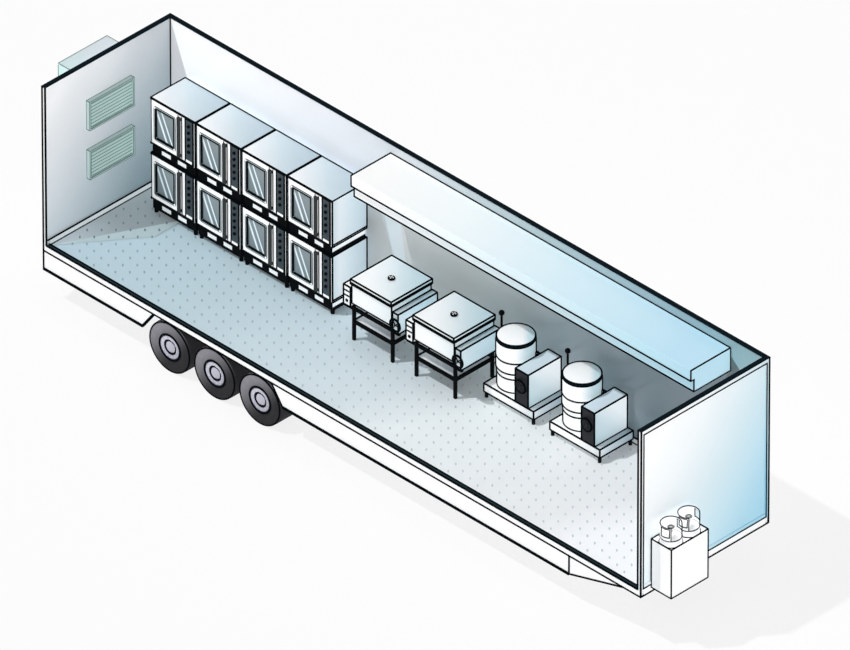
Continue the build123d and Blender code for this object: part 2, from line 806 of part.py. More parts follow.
# Exhaust hood: a stepped shell, open below, with a sloping bank of filters
hood_x = rear_x + hood_start
hood_back = far_y - wall
hood_front = hood_back - hood_reach
with BuildPart() as hood_canopy:
    with BuildSketch(Plane.YZ.offset(hood_x)):
        with BuildLine():
            Polyline((hood_back, deck_height + hood_top), (hood_front, deck_height + hood_top),
                     (hood_front, deck_height + hood_step),
                     (hood_front + hood_setback, deck_height + hood_step),
                     (hood_front + hood_setback, deck_height + hood_low),
                     (hood_back, deck_height + hood_low), close=True)
        make_face()
    extrude(amount=hood_length)
    with BuildSketch(Plane.YZ.offset(hood_x + hood_steel)):
        with BuildLine():
            Polyline((hood_back - hood_steel, deck_height + hood_top - hood_steel),
                     (hood_front + hood_steel, deck_height + hood_top - hood_steel),
                     (hood_front + hood_steel, deck_height + hood_step + hood_steel),
                     (hood_front + hood_setback + hood_steel, deck_height + hood_step + hood_steel),
                     (hood_front + hood_setback + hood_steel, deck_height + hood_low),
                     (hood_back - hood_steel, deck_height + hood_low), close=True)
        make_face()
    extrude(amount=hood_length - 2 * hood_steel, mode=Mode.SUBTRACT)
hood_canopy.part.label = "hood_canopy"
export_step(hood_canopy.part, "parts/hood_canopy.step")

filter_pitch = (hood_length - 2 * hood_steel - filter_gap) / filter_count
filter_front = hood_front + hood_setback + hood_steel + seat_gap
filter_back = hood_back - hood_steel - seat_gap
with BuildPart() as hood_filters:
    for number in range(filter_count):
        with BuildSketch(Plane.YZ.offset(hood_x + hood_steel + filter_gap + number * filter_pitch)):
            with BuildLine():
                Polyline((filter_front, deck_height + filter_low), (filter_back, deck_height + filter_high),
                         (filter_back, deck_height + filter_high + filter_thickness),
                         (filter_front, deck_height + filter_low + filter_thickness), close=True)
            make_face()
        extrude(amount=filter_pitch - filter_gap)
hood_filters.part.label = "hood_filters"
export_step(hood_filters.part, "parts/hood_filters.step")

# Gas locker: an open box on the front wall with two cylinders
locker_y = near_y + locker_start
locker_floor = deck_height + locker_low + locker_steel
with BuildPart() as gas_locker:
    block((front_x, front_x + locker_depth), (locker_y, locker_y + locker_length),
          (deck_height + locker_low, deck_height + locker_high))
    block((front_x + locker_steel, front_x + locker_depth - locker_steel),
          (locker_y + locker_steel, locker_y + locker_length - locker_steel),
          (locker_floor, deck_height + locker_high), mode=Mode.SUBTRACT)
gas_locker.part.label = "gas_locker"
export_step(gas_locker.part, "parts/gas_locker.step")

with BuildPart() as gas_cylinders:
    for sign in (-1, 1):
        x = front_x + locker_depth / 2
        y = locker_y + locker_length / 2 + sign * cylinder_spacing / 2
        with BuildSketch(Plane.XZ.offset(-y)):
            with BuildLine():
                Polyline((x, deck_height + cylinder_top), (x, locker_floor),
                         (x + cylinder_radius, locker_floor),
                         (x + cylinder_radius, deck_height + cylinder_shoulder))
                TangentArc((x, deck_height + cylinder_top),
                           (x + cylinder_radius, deck_height + cylinder_shoulder), tangent=(1, 0))
            make_face()
        revolve(axis=Axis((x, y, 0), (0, 0, 1)))
        with BuildSketch(Plane.XY.offset(deck_height + cylinder_shoulder)):
            with Locations((x, y)):
                Circle(collar_radius)
                Circle(collar_radius - collar_wall, mode=Mode.SUBTRACT)
        extrude(amount=collar_top - cylinder_shoulder)
        for turn, width, low, high in collar_cuts:
            with Locations(Location((x, y, deck_height + low), (0, 0, turn))):
                Box(collar_radius + collar_wall, width, high - low,
                    align=(Align.MIN, Align.CENTER, Align.MIN), mode=Mode.SUBTRACT)
        valve_base = deck_height + cylinder_top - collar_wall
        with Locations((x, y, valve_base)):
            Cylinder(valve_radius, valve_body_height, align=(Align.CENTER, Align.CENTER, Align.MIN))
            Cylinder(valve_waist_radius, deck_height + valve_wheel_low + valve_wheel_height / 2 - valve_base,
                     align=(Align.CENTER, Align.CENTER, Align.MIN))
        with Locations((x, y, deck_height + valve_wheel_low)):
            Cylinder(valve_wheel_radius, valve_wheel_height, align=(Align.CENTER, Align.CENTER, Align.MIN))
        with Locations((x, y, deck_height + valve_wheel_low + valve_wheel_height / 2)):
            Cylinder(valve_wheel_bore, valve_wheel_height, align=(Align.CENTER, Align.CENTER, Align.MIN),
                     mode=Mode.SUBTRACT)
gas_cylinders.part.label = "gas_cylinders"
export_step(gas_cylinders.part, "parts/gas_cylinders.step")

# Ovens: two tiers of cases built from plates, each on its own plinth
oven_y = far_y - wall - oven_wall_gap - oven_depth
oven_back_y = oven_y + oven_depth
case_front = oven_y + door_thickness + door_seal_gap
tier_height = oven_plinth_height + oven_case_height
oven_x = [rear_x + oven_start + number * oven_pitch for number in range(oven_count)]
tier_z = [floor_z + oven_foot_height, floor_z + oven_foot_height + tier_height]
door_low = oven_plinth_height + oven_sheet + door_gap
door_height = oven_case_height - 2 * oven_sheet - 2 * door_gap

with BuildPart() as oven_plinths:
    for x in oven_x:
        for z in tier_z:
            block((x + oven_plinth_inset, x + oven_width - oven_plinth_inset),
                  (oven_y + oven_plinth_inset, oven_back_y - oven_plinth_inset), (z, z + oven_plinth_height))
            for start, length in label_places:
                block((x + start, x + start + length),
                      (oven_y + oven_plinth_inset - label_proud, oven_y + oven_plinth_inset),
                      (z + label_low, z + label_low + label_height))
        with Locations((x + oven_width / 2, (oven_y + oven_back_y) / 2, floor_z)):
            with GridLocations(oven_width - 2 * oven_foot_inset, oven_depth - 2 * oven_foot_inset, 2, 2):
                Cylinder(oven_foot_radius, oven_foot_height, align=(Align.CENTER, Align.CENTER, Align.MIN))
oven_plinths.part.label = "oven_plinths"
export_step(oven_plinths.part, "parts/oven_plinths.step")

with BuildPart() as oven_cases:
    for x in oven_x:
        for z in tier_z:
            for low in (oven_plinth_height, tier_height - oven_sheet):
                block((x, x + oven_width), (oven_y, oven_back_y), (z + low, z + low + oven_sheet))
                with Locations((x + door_pin_inset, oven_y + door_pin_inset, z + low)):
                    Cylinder(door_pin_radius + pin_clearance, oven_sheet, mode=Mode.SUBTRACT,
                             align=(Align.CENTER, Align.CENTER, Align.MIN))
            case_z = (z + oven_plinth_height + oven_sheet + seat_gap, z + tier_height - oven_sheet - seat_gap)
            control_x = x + oven_width - control_width
            block((x, x + oven_sheet), (case_front, oven_back_y), case_z)
            block((control_x, x + oven_width), (oven_y, oven_back_y), case_z)
            panel_x = (control_x + panel_place, control_x + panel_place + panel_width)
            panel_z = (z + oven_plinth_height + panel_low, z + tier_height - panel_high)
            block(panel_x, (oven_y - panel_proud, oven_y), panel_z)
            with BuildSketch(Plane.XZ.offset(panel_proud - oven_y)):
                with Locations(*[((panel_x[0] + panel_x[1]) / 2, panel_z[1] - knob_first - number * knob_spacing)
                                 for number in range(knob_count)]):
                    Circle(knob_radius)
            extrude(amount=knob_height)
            block((x + oven_sheet + seat_gap, control_x - seat_gap),
                  (oven_back_y - oven_sheet, oven_back_y), case_z)
oven_cases.part.label = "oven_cases"
export_step(oven_cases.part, "parts/oven_cases.step")

# Oven doors: a framed window and a long handle, on pins at the left edge
for tier, z in zip(("lower", "upper"), tier_z):
    for number, x in enumerate(oven_x, 1):
        low = z + door_low
        with BuildPart() as oven_door:
            block((x, x + door_width - door_gap), (oven_y, oven_y + door_thickness), (low, low + door_height))
            left_edges = oven_door.edges().filter_by(Axis.Z).group_by(Axis.X)[0]
            fillet(left_edges, door_pin_inset)
            window_at = (x + window_left + window_width / 2, low + window_low + window_height / 2)
            pane_width = window_width - 2 * gasket_width
            pane_height = window_height - 2 * gasket_width
            with BuildSketch(Plane.XZ.offset(-oven_y)):
                with Locations(window_at):
                    RectangleRounded(window_width, window_height, window_corner)
            extrude(amount=gasket_proud)
            boss_x = window_width / 2 - boss_inset
            boss_z = window_height / 2 - boss_inset
            with BuildSketch(Plane.XZ.offset(gasket_proud - oven_y)):
                with Locations((window_at[0] - boss_x, window_at[1] + boss_z),
                               (window_at[0] + boss_x, window_at[1] - boss_z)):
                    Circle(boss_radius)
            extrude(amount=boss_proud)
            with BuildSketch(Plane.XZ.offset(gasket_proud - oven_y)):
                with Locations(window_at):
                    RectangleRounded(pane_width, pane_height, pane_corner)
            extrude(amount=-gasket_proud - door_thickness, mode=Mode.SUBTRACT)
            with BuildSketch(Plane.XZ.offset(-oven_y)):
                with Locations((x + handle_left + handle_width / 2, low + door_height / 2)):
                    Rectangle(handle_width, door_height - 2 * handle_margin)
            extrude(amount=handle_proud)
            with BuildSketch(Plane.XZ.offset(-oven_y)):
                with Locations((x + handle_left + handle_width / 2, low + door_height / 2)):
                    Rectangle(handle_width, door_height - 6 * handle_margin)
            extrude(amount=handle_proud - handle_width / 3, mode=Mode.SUBTRACT)
            with Locations((x + door_pin_inset, oven_y + door_pin_inset, low - door_pin_length)):
                Cylinder(door_pin_radius, door_height + 2 * door_pin_length,
                         align=(Align.CENTER, Align.CENTER, Align.MIN))
            with BuildSketch(Plane.XZ.offset(-oven_y - door_thickness / 2)):
                with Locations(window_at):
                    RectangleRounded(pane_width - 2 * seat_gap, pane_height - 2 * seat_gap, pane_corner - seat_gap)
            extrude(amount=glass_thickness / 2, both=True)
        oven_door.part.label = f"oven_door_{tier}_{number}"
        export_step(oven_door.part, f"parts/oven_door_{tier}_{number}.step")

# Braising pans: a leg frame, two consoles, a tilting tub and its hinged lid
pan_y = far_y - wall - pan_wall_gap - lid_length
pan_x = [rear_x + pan_start + number * pan_pitch for number in range(pan_count)]
tub_y = (pan_y + tub_set_back, pan_y + lid_length - tub_set_back)
tub_low = floor_z + lid_low - tub_depth
tilt_y = pan_y + tilt_set_back
tilt_z = floor_z + tilt_height
console_low = floor_z + bearer_top
hinge_y = pan_y + lid_length + hinge_set_back
hinge_z = floor_z + lid_low - hinge_drop

with BuildPart() as pan_frames:
    for x in pan_x:
        frame_x = x + leg_place_x + leg_span / 2
        frame_y = pan_y + lid_length / 2
        span_x = leg_span
        span_y = lid_length - 2 * leg_size
        with Locations((frame_x, frame_y, floor_z)):
            with GridLocations(span_x, span_y, 2, 2):
                Box(leg_size, leg_size, leg_top, align=(Align.CENTER, Align.CENTER, Align.MIN))
        with Locations((frame_x, frame_y, floor_z + stretcher_top - leg_size)):
            Box(span_x + leg_size, span_y + leg_size, leg_size, align=(Align.CENTER, Align.CENTER, Align.MIN))
            Box(span_x - leg_size, span_y - leg_size, leg_size - shelf_steel, mode=Mode.SUBTRACT,
                align=(Align.CENTER, Align.CENTER, Align.MIN))
        for sign in (-1, 1):
            block((x - left_gap - left_console, x + lid_width + console_gap + right_console),
                  (frame_y + sign * span_y / 2 - leg_size / 2, frame_y + sign * span_y / 2 + leg_size / 2),
                  (console_low - leg_size, console_low))
pan_frames.part.label = "pan_frames"
export_step(pan_frames.part, "parts/pan_frames.step")

with BuildPart() as pan_consoles:
    for x in pan_x:
        for start, width in ((x - left_gap - left_console, left_console),
                             (x + lid_width + console_gap, right_console)):
            block((start, start + width), (pan_y + console_front, pan_y + lid_length - console_back),
                  (console_low, console_low + console_height))
        with Locations(Location((x + lid_width / 2, tilt_y, tilt_z), (0, 90, 0))):
            Cylinder(trunnion_radius + pin_clearance, lid_width + 2 * (console_gap + trunnion_reach),
                     mode=Mode.SUBTRACT)
        key_x = x - left_gap - left_console / 2
        with BuildSketch(Plane.XZ.offset(-pan_y - console_front)):
            with Locations(*[(key_x, console_low + console_height - drop) for drop in key_drops]):
                Rectangle(key_width, key_height)
        extrude(amount=key_proud)
        with BuildSketch(Plane.XZ.offset(-pan_y - console_front)):
            with Locations((key_x, console_low + console_height - button_drop)):
                Circle(button_radius)
        extrude(amount=button_proud)
        wheel_x = x + lid_width + console_gap / 2 + hand_wheel_radius
        wheel_z = console_low + console_height / 2
        with BuildSketch(Plane.XZ.offset(-pan_y - console_front)):
            with Locations((wheel_x, wheel_z)):
                Circle(hand_wheel_rim)
        extrude(amount=hand_wheel_reach)
        with BuildSketch(Plane.XZ.offset(hand_wheel_stand - pan_y)):
            with Locations((wheel_x, wheel_z)):
                Circle(hand_wheel_radius)
                Circle(hand_wheel_radius - 2 * hand_wheel_rim, mode=Mode.SUBTRACT)
                Circle(2 * hand_wheel_rim)
                with PolarLocations(0, 3):
                    Rectangle(hand_wheel_radius - hand_wheel_rim, hand_wheel_rim,
                              align=(Align.MIN, Align.CENTER))
        extrude(amount=2 * hand_wheel_rim)
pan_consoles.part.label = "pan_consoles"
export_step(pan_consoles.part, "parts/pan_consoles.step")

for number, x in enumerate(pan_x, 1):
    tub_x = (x + tub_inset, x + lid_width - tub_inset)
    with BuildPart() as pan_tub:
        block(tub_x, tub_y, (tub_low, floor_z + lid_low - seat_gap))
        block((tub_x[0] + tub_wall, tub_x[1] - tub_wall), (tub_y[0] + tub_wall, tub_y[1] - tub_wall),
              (tub_low + tub_wall, floor_z + lid_low), mode=Mode.SUBTRACT)
        for start, reach in ((tub_x[0], trunnion_set_back - tub_inset - trunnion_reach),
                             (tub_x[1], tub_inset + console_gap + trunnion_reach - trunnion_set_back)):
            with BuildSketch(Plane.YZ.offset(start)):
                with Locations((tilt_y, tilt_z)):
                    Circle(trunnion_radius)
            extrude(amount=reach)
        for sign in (-1, 1):
            hinge_x = x + lid_width / 2 + sign * lid_width / 3
            block((hinge_x - hinge_length / 2, hinge_x - seat_gap), (tub_y[1] - tub_wall, hinge_y),
                  (hinge_z - hinge_radius, hinge_z))
            with BuildSketch(Plane.YZ.offset(hinge_x - hinge_length / 2)):
                with Locations((hinge_y, hinge_z)):
                    Circle(hinge_radius)
            extrude(amount=hinge_length / 2 - seat_gap)
    pan_tub.part.label = f"pan_tub_{number}"
    export_step(pan_tub.part, f"parts/pan_tub_{number}.step")

    with BuildPart() as pan_lid:
        block((x, x + lid_width), (pan_y, pan_y + lid_length),
              (floor_z + lid_low, floor_z + lid_low + lid_height))
        block((x + lid_sheet, x + lid_width - lid_sheet), (pan_y + lid_sheet, pan_y + lid_length - lid_sheet),
              (floor_z + lid_low, floor_z + lid_low + lid_height - lid_sheet), mode=Mode.SUBTRACT)
        with BuildSketch(Plane.XY.offset(floor_z + lid_low + lid_height)):
            with Locations((x + lid_width / 2, pan_y + lid_length / 2)):
                RegularPolygon(pan_knob_radius, 6)
        extrude(amount=pan_knob_height)
        for sign in (-1, 1):
            hinge_x = x + lid_width / 2 + sign * lid_width / 3
            with BuildSketch(Plane.YZ.offset(hinge_x)):
                with Locations((hinge_y, hinge_z)):
                    Circle(hinge_radius)
                with BuildLine():
                    Polyline((hinge_y, hinge_z), (hinge_y + hinge_radius, hinge_z),
                             (hinge_y + hinge_radius, hinge_z + 5 * hinge_radius),
                             (pan_y + lid_length, hinge_z + 5 * hinge_radius),
                             (pan_y + lid_length, hinge_z + hinge_drop), close=True)
                make_face()
            extrude(amount=hinge_length / 2)
    pan_lid.part.label = f"pan_lid_{number}"
    export_step(pan_lid.part, f"parts/pan_lid_{number}.step")

# Boiling kettles: a base, a stepped pot with its bowl, a domed lid and a control cabinet
kettle_y = far_y - wall - kettle_wall_gap - base_width
kettle_x = [rear_x + kettle_start + number * kettle_pitch for number in range(kettle_count)]
pot_y = kettle_y + pot_back
kettle_hinge_y = pot_y + pot_radius + kettle_hinge_set_back
with BuildPart() as kettle_bases:
    for x in kettle_x:
        block((x, x + base_length), (kettle_y, kettle_y + base_width),
              (floor_z + base_low, floor_z + base_high))
        with Locations((x + base_length / 2, kettle_y + base_width / 2, floor_z)):
            with GridLocations(base_length - 2 * kettle_foot_radius,
                               base_width - 2 * kettle_foot_radius, 2, 2):
                Cylinder(kettle_foot_radius, base_low, align=(Align.CENTER, Align.CENTER, Align.MIN))
kettle_bases.part.label = "kettle_bases"
export_step(kettle_bases.part, "parts/kettle_bases.step")

with BuildPart() as kettle_cabinets:
    for x in kettle_x:
        block((x + cabinet_start, x + cabinet_start + cabinet_length),
              (kettle_y, kettle_y + base_width - cabinet_back), (floor_z + base_high, floor_z + cabinet_high))
        wheel_x = x + cabinet_start + cabinet_length / 2
        with BuildSketch(Plane.XZ.offset(-kettle_y)):
            with Locations((wheel_x, floor_z + kettle_wheel_height)):
                Circle(hand_wheel_rim)
        extrude(amount=hand_wheel_stand + 2 * hand_wheel_rim)
        with BuildSketch(Plane.XZ.offset(hand_wheel_stand - kettle_y)):
            with Locations((wheel_x, floor_z + kettle_wheel_height)):
                Circle(kettle_wheel_radius)
                Circle(kettle_wheel_radius - 2 * hand_wheel_rim, mode=Mode.SUBTRACT)
                Circle(2 * hand_wheel_rim)
                with PolarLocations(0, 3):
                    Rectangle(kettle_wheel_radius - hand_wheel_rim, hand_wheel_rim,
                              align=(Align.MIN, Align.CENTER))
        extrude(amount=2 * hand_wheel_rim)
kettle_cabinets.part.label = "kettle_cabinets"
export_step(kettle_cabinets.part, "parts/kettle_cabinets.step")

for number, start in enumerate(kettle_x, 1):
    x = start + pot_place
    base = floor_z + base_high
    rim_z = floor_z + pot_rim
    bowl_radius = pot_radius - pot_wall
    bowl_z = floor_z + bowl_bottom
    with BuildPart() as kettle_pot:
        with BuildSketch(Plane.XZ.offset(-pot_y)):
            with BuildLine():
                Polyline((x, base), (x + pot_foot_radius, base),
                         (x + pot_foot_radius, base + pot_foot_height),
                         (x + pot_radius, base + pot_foot_height + pot_taper), (x + pot_radius, rim_z),
                         (x, rim_z), close=True)
            make_face()
        revolve(axis=Axis((x, pot_y, 0), (0, 0, 1)))
        with BuildSketch(Plane.YZ.offset(start + cabinet_start)):
            with Locations((kettle_y + pipe_back, floor_z + pipe_height)):
                Circle(pipe_radius)
        extrude(amount=pot_place - cabinet_start)
        with BuildSketch(Plane.XZ.offset(-pot_y)):
            with BuildLine():
                Polyline((x, bowl_z), (x, rim_z), (x + bowl_radius, rim_z),
                         (x + bowl_radius, bowl_z + bowl_dish))
                TangentArc((x, bowl_z), (x + bowl_radius, bowl_z + bowl_dish), tangent=(1, 0))
            make_face()
        revolve(axis=Axis((x, pot_y, 0), (0, 0, 1)), mode=Mode.SUBTRACT)
        lever_y = pot_y + lever_back
        block((x - lever_out, x - pot_radius + pot_wall),
              (lever_y - lever_radius / 2, lever_y + lever_radius / 2),
              (rim_z - lever_foot, rim_z - lever_foot + lever_arm))
        with BuildSketch(Plane.XY.offset(rim_z - lever_foot)):
            with Locations((x - lever_out, lever_y)):
                Circle(lever_radius)
        extrude(amount=lever_foot + lever_height - lever_ball)
        with Locations((x - lever_out, lever_y, rim_z + lever_height - lever_ball)):
            Sphere(lever_ball)
        block((x - kettle_hinge_length / 2, x - seat_gap), (pot_y + pot_radius - pot_wall, kettle_hinge_y),
              (rim_z - kettle_hinge_radius, rim_z))
        with BuildSketch(Plane.YZ.offset(x - kettle_hinge_length / 2)):
            with Locations((kettle_hinge_y, rim_z)):
                Circle(kettle_hinge_radius)
        extrude(amount=kettle_hinge_length / 2 - seat_gap)
    kettle_pot.part.label = f"kettle_pot_{number}"
    export_step(kettle_pot.part, f"parts/kettle_pot_{number}.step")

    lid_z = rim_z + seat_gap
    with BuildPart() as kettle_lid:
        with BuildSketch(Plane.XZ.offset(-pot_y)):
            with BuildLine():
                Polyline((x, lid_z + kettle_lid_rim + kettle_lid_dome), (x, lid_z), (x + pot_radius, lid_z),
                         (x + pot_radius, lid_z + kettle_lid_rim))
                TangentArc((x, lid_z + kettle_lid_rim + kettle_lid_dome),
                           (x + pot_radius, lid_z + kettle_lid_rim), tangent=(1, 0))
            make_face()
        revolve(axis=Axis((x, pot_y, 0), (0, 0, 1)))
        block((x, x + kettle_hinge_length / 2), (pot_y + pot_radius - pot_wall, kettle_hinge_y),
              (lid_z, rim_z + kettle_hinge_radius))
        with BuildSketch(Plane.YZ.offset(x)):
            with Locations((kettle_hinge_y, rim_z)):
                Circle(kettle_hinge_radius)
        extrude(amount=kettle_hinge_length / 2)
    kettle_lid.part.label = f"kettle_lid_{number}"
    export_step(kettle_lid.part, f"parts/kettle_lid_{number}.step")
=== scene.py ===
import math
from functools import partialmethod

import bmesh
import bpy
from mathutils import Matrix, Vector


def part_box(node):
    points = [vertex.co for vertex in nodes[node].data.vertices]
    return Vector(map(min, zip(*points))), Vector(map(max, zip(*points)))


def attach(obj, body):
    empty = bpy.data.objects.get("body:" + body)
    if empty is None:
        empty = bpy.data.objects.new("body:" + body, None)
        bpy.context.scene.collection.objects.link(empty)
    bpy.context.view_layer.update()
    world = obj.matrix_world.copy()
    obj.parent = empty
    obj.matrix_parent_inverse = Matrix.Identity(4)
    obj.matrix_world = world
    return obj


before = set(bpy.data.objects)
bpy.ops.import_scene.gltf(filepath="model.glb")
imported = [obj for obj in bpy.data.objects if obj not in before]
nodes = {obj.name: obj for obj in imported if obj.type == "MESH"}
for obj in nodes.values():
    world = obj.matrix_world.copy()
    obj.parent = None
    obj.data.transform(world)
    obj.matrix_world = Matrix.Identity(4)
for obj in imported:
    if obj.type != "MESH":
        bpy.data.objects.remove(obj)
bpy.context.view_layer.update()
scene = bpy.context.scene
scene.view_settings.view_transform = "Standard"

# places shared by several pieces, in metres
rear, front, near, far = -6.051, 6.141, -1.3, 1.3
deck, floor, top, wall = 0.86, 0.97, 3.756, 0.06
ovens = {
    "x": [-5.533, -4.594, -3.655, -2.716], "z": [1.04, 2.015], "y": 0.39, "pitch": 0.939, "tier": 0.975,
    "width": 0.915, "depth": 0.70, "plinth": 0.165, "rowEnd": -1.801,
    "proud": 0.0005, "bossProud": 0.0075,   # what stands further out than this is trim, or a boss or knob
}
# the pane, its gasket, the two slanting bands of painted reflection across it, and where the handle starts
pane = {
    "x": 0.285, "z": 0.56, "half": (0.175, 0.25), "gasket": 0.0504, "lip": (0.030, 0.041),
    "slant": 0.45, "bands": ((0.448, 0.026), (0.56, 0.020)), "handleFrom": 0.54,
}
pans = {
    "x": [-1.191, 0.086], "pitch": 1.277, "y": 0.15, "width": 0.83, "length": 0.84,
    "lid": 1.966, "lidHeight": 0.082,
}
kettles = {
    "x": [1.169, 2.511], "pitch": 1.342, "y": 0.51, "pot": 0.318, "potY": 0.845, "radius": 0.284,
    "foot": 0.269, "rim": 2.02, "deck": 1.21, "cabinetTop": 1.795,
}
hood = {
    "x": (-1.461, 5.419), "back": 1.24, "front": 0.435, "lowFront": 0.498,
    "low": 3.2, "step": 3.412, "top": 3.595, "seam": 0.0155,
}
wheel = {"x": {"rear": -3.461, "middle": -2.534, "front": -1.607}, "pitch": 0.927, "y": 1.095, "z": 0.42}


def rgb(red, green, blue):
    # a colour as it is seen, from 0 to 255, turned into the linear values that a shader takes
    def linear(value):
        value /= 255
        return value / 12.92 if value <= 0.04045 else ((value + 0.055) / 1.055) ** 2.4
    return (linear(red), linear(green), linear(blue), 1)


# materials
def put(tree, kind, links=None, **values):
    # adds a node, sets its plain sockets by name or number, and joins the linked ones
    node = tree.nodes.new(kind)
    for key, value in values.items():
        setattr(node, key, value)
    for key, value in (links or {}).items():
        value = getattr(value, "socket", value)
        if isinstance(value, bpy.types.NodeSocket):
            tree.links.new(value, node.inputs[key])
        else:
            node.inputs[key].default_value = value
    return node


def add(tree, kind, links=None, **values):
    # the first output of a new node
    return put(tree, kind, links, **values).outputs[0]


class Field:
    # a number or colour worked out in a shader: sums and comparisons on it become Math nodes
    def __init__(self, tree, socket):
        self.tree = tree
        self.socket = socket

    def node(self, kind, links, output=0, **values):
        return Field(self.tree, put(self.tree, kind, links, **values).outputs[output])

    def math(self, operation, other=0.0):
        return self.node("ShaderNodeMath", {0: self, 1: other}, operation=operation)

    __add__ = partialmethod(math, "ADD")
    __sub__ = partialmethod(math, "SUBTRACT")
    __mul__ = partialmethod(math, "MULTIPLY")
    __truediv__ = partialmethod(math, "DIVIDE")
    __lt__ = partialmethod(math, "LESS_THAN")
    __gt__ = partialmethod(math, "GREATER_THAN")
    __and__ = partialmethod(math, "MULTIPLY")
    __or__ = partialmethod(math, "MAXIMUM")

    def away(self, middle):
        return (self - middle).math("ABSOLUTE")

    def within(self, start, pitch):
        # the way along one of a row of like pieces
        return ((self - start) / pitch).math("FRACT") * pitch


def ramp(value, low, high):
    # 0 below low, 1 above high, smooth between
    return value.node("ShaderNodeMapRange", {"Value": value, "From Min": low, "From Max": high},
                      interpolation_type="SMOOTHSTEP")


def edge(value, place, soft):
    # steps from 0 to 1 at a place, or down again where soft is negative
    return ramp(value, place - soft, place + soft)


def blend(factor, first, second):
    first, second = (rgb(*color) if isinstance(color, tuple) else color for color in (first, second))
    return factor.node("ShaderNodeMix", {0: factor, 6: first, 7: second}, 2, data_type="RGBA")


def stops(value, marks):
    # a colour read off a list of places and tints
    low, high = marks[0][0], marks[-1][0]
    spread = value.node("ShaderNodeMapRange", {"Value": value, "From Min": low, "From Max": high})
    node = put(value.tree, "ShaderNodeValToRGB", {0: spread})
    while len(node.color_ramp.elements) < len(marks):
        node.color_ramp.elements.new(0.5)
    for element, (place, tint) in zip(node.color_ramp.elements, marks):
        element.position = (place - low) / (high - low)
        element.color = rgb(*tint)
    return Field(value.tree, node.outputs[0])


def startMaterial(name):
    # a new material, and the place in the part as three fields
    material = bpy.data.materials.new(name)
    material.use_nodes = True
    tree = material.node_tree
    coords = put(tree, "ShaderNodeTexCoord").outputs["Object"]
    split = put(tree, "ShaderNodeSeparateXYZ", {0: coords}).outputs
    return material, *(Field(tree, socket) for socket in split)


def surface(material, color, roughness=0.4, spread=0.08, scale=3.0, mottle=0.03, grain=400.0, relief=0.0002,
            stretch=(1, 1, 1), metallic=0.0, coat=0.0, specular=0.5):
    # the fine part of every finish: a slight mottle, uneven gloss and a shallow relief
    tree = material.node_tree
    shader = tree.nodes["Principled BSDF"]
    coords = put(tree, "ShaderNodeTexCoord").outputs["Object"]
    placed = add(tree, "ShaderNodeMapping", {"Vector": coords, "Scale": stretch})

    def noise(size, detail, low, high):
        cloud = add(tree, "ShaderNodeTexNoise", {"Vector": placed, "Scale": size, "Detail": detail})
        return cloud, add(tree, "ShaderNodeMapRange", {"Value": cloud, "From Min": 0.3, "From Max": 0.7,
                                                       "To Min": low, "To Max": high})

    dim = noise(scale, 4.0, 1 - mottle, 1.0)[1]
    fine, gloss = noise(grain, 2.0, max(0.02, roughness - spread), min(1.0, roughness + spread))
    tinted = add(tree, "ShaderNodeVectorMath", {0: color, "Scale": dim}, operation="SCALE")
    bump = add(tree, "ShaderNodeBump", {"Height": fine, "Strength": 0.25, "Distance": relief})
    tree.links.new(tinted, shader.inputs["Base Color"])
    tree.links.new(gloss, shader.inputs["Roughness"])
    tree.links.new(bump, shader.inputs["Normal"])
    shader.inputs["Metallic"].default_value = metallic
    # dark parts of a finish stay dull
    shade = add(tree, "ShaderNodeRGBToBW", {0: color})
    for name, level in (("Coat Weight", coat), ("Specular IOR Level", specular)):
        held = add(tree, "ShaderNodeMapRange", {"Value": shade, "From Min": 0.0, "From Max": 0.15,
                                               "To Min": 0.08 * level, "To Max": level})
        tree.links.new(held, shader.inputs[name])
    return material


def plainFinish(name, color, **finish):
    material, x, y, z = startMaterial(name)
    base = add(material.node_tree, "ShaderNodeRGB")
    base.default_value = rgb(*color)
    return surface(material, base, **finish)


def shadedFinish(name, first, second, direction, low, high, **finish):
    # a finish that turns from one tint to another along a direction
    material, x, y, z = startMaterial(name)
    along = x * direction[0] + y * direction[1] + z * direction[2]
    return surface(material, blend(ramp(along, low, high), first, second), **finish)


# painted light and shade set out as colours along the walls, the floor, the hood, an oven and a kettle
# cabinet: place in metres, colour
outerWhite = (241, 242, 243)
rearShading = [
    (-4.5, (240, 240, 241)), (-4.0, (227, 228, 230)), (-2.0, (181, 190, 196)), (-0.8, (145, 164, 172)),
    (0.0, (127, 149, 159)),
]
farShading = {
    "upper": [
        (-5.5, (253, 253, 253)), (-2.5, (226, 229, 235)), (-0.7, (190, 200, 206)), (1.2, (167, 184, 189)),
        (4.4, (139, 164, 174)), (5.4, (137, 168, 175)),
    ],
    "lower": [
        (-0.9, (199, 202, 202)), (0.3, (181, 189, 189)), (2.0, (137, 152, 158)), (3.8, (108, 122, 129)),
    ],
    "streak": (205, 215, 219), "corner": (88, 102, 104), "shaded": (224, 223, 226),
}
frontShading = [
    (-2.6, (240, 241, 242)), (-1.9, (228, 234, 237)), (-1.0, (199, 219, 227)), (-0.5, (182, 213, 226)),
    (0.0, (160, 204, 223)), (0.5, (149, 199, 223)),
]
floorShading = [
    (-5.5, (177, 200, 210)), (-3.0, (186, 207, 216)), (-1.3, (201, 217, 225)), (0.3, (210, 222, 227)),
    (1.3, (230, 237, 239)), (4.3, (234, 235, 236)), (5.1, (248, 248, 250)),
]
hoodShading = {
    "top": [
        (-1.2, (254, 255, 255)), (0.22, (246, 253, 255)), (2.49, (217, 241, 251)), (4.95, (189, 228, 246)),
    ],
    "front": [
        (-1.4, (252, 252, 252)), (0.0, (240, 247, 250)), (1.55, (219, 235, 241)), (4.41, (182, 219, 232)),
        (5.4, (175, 214, 229)),
    ],
    "end": (201, 232, 243),
}
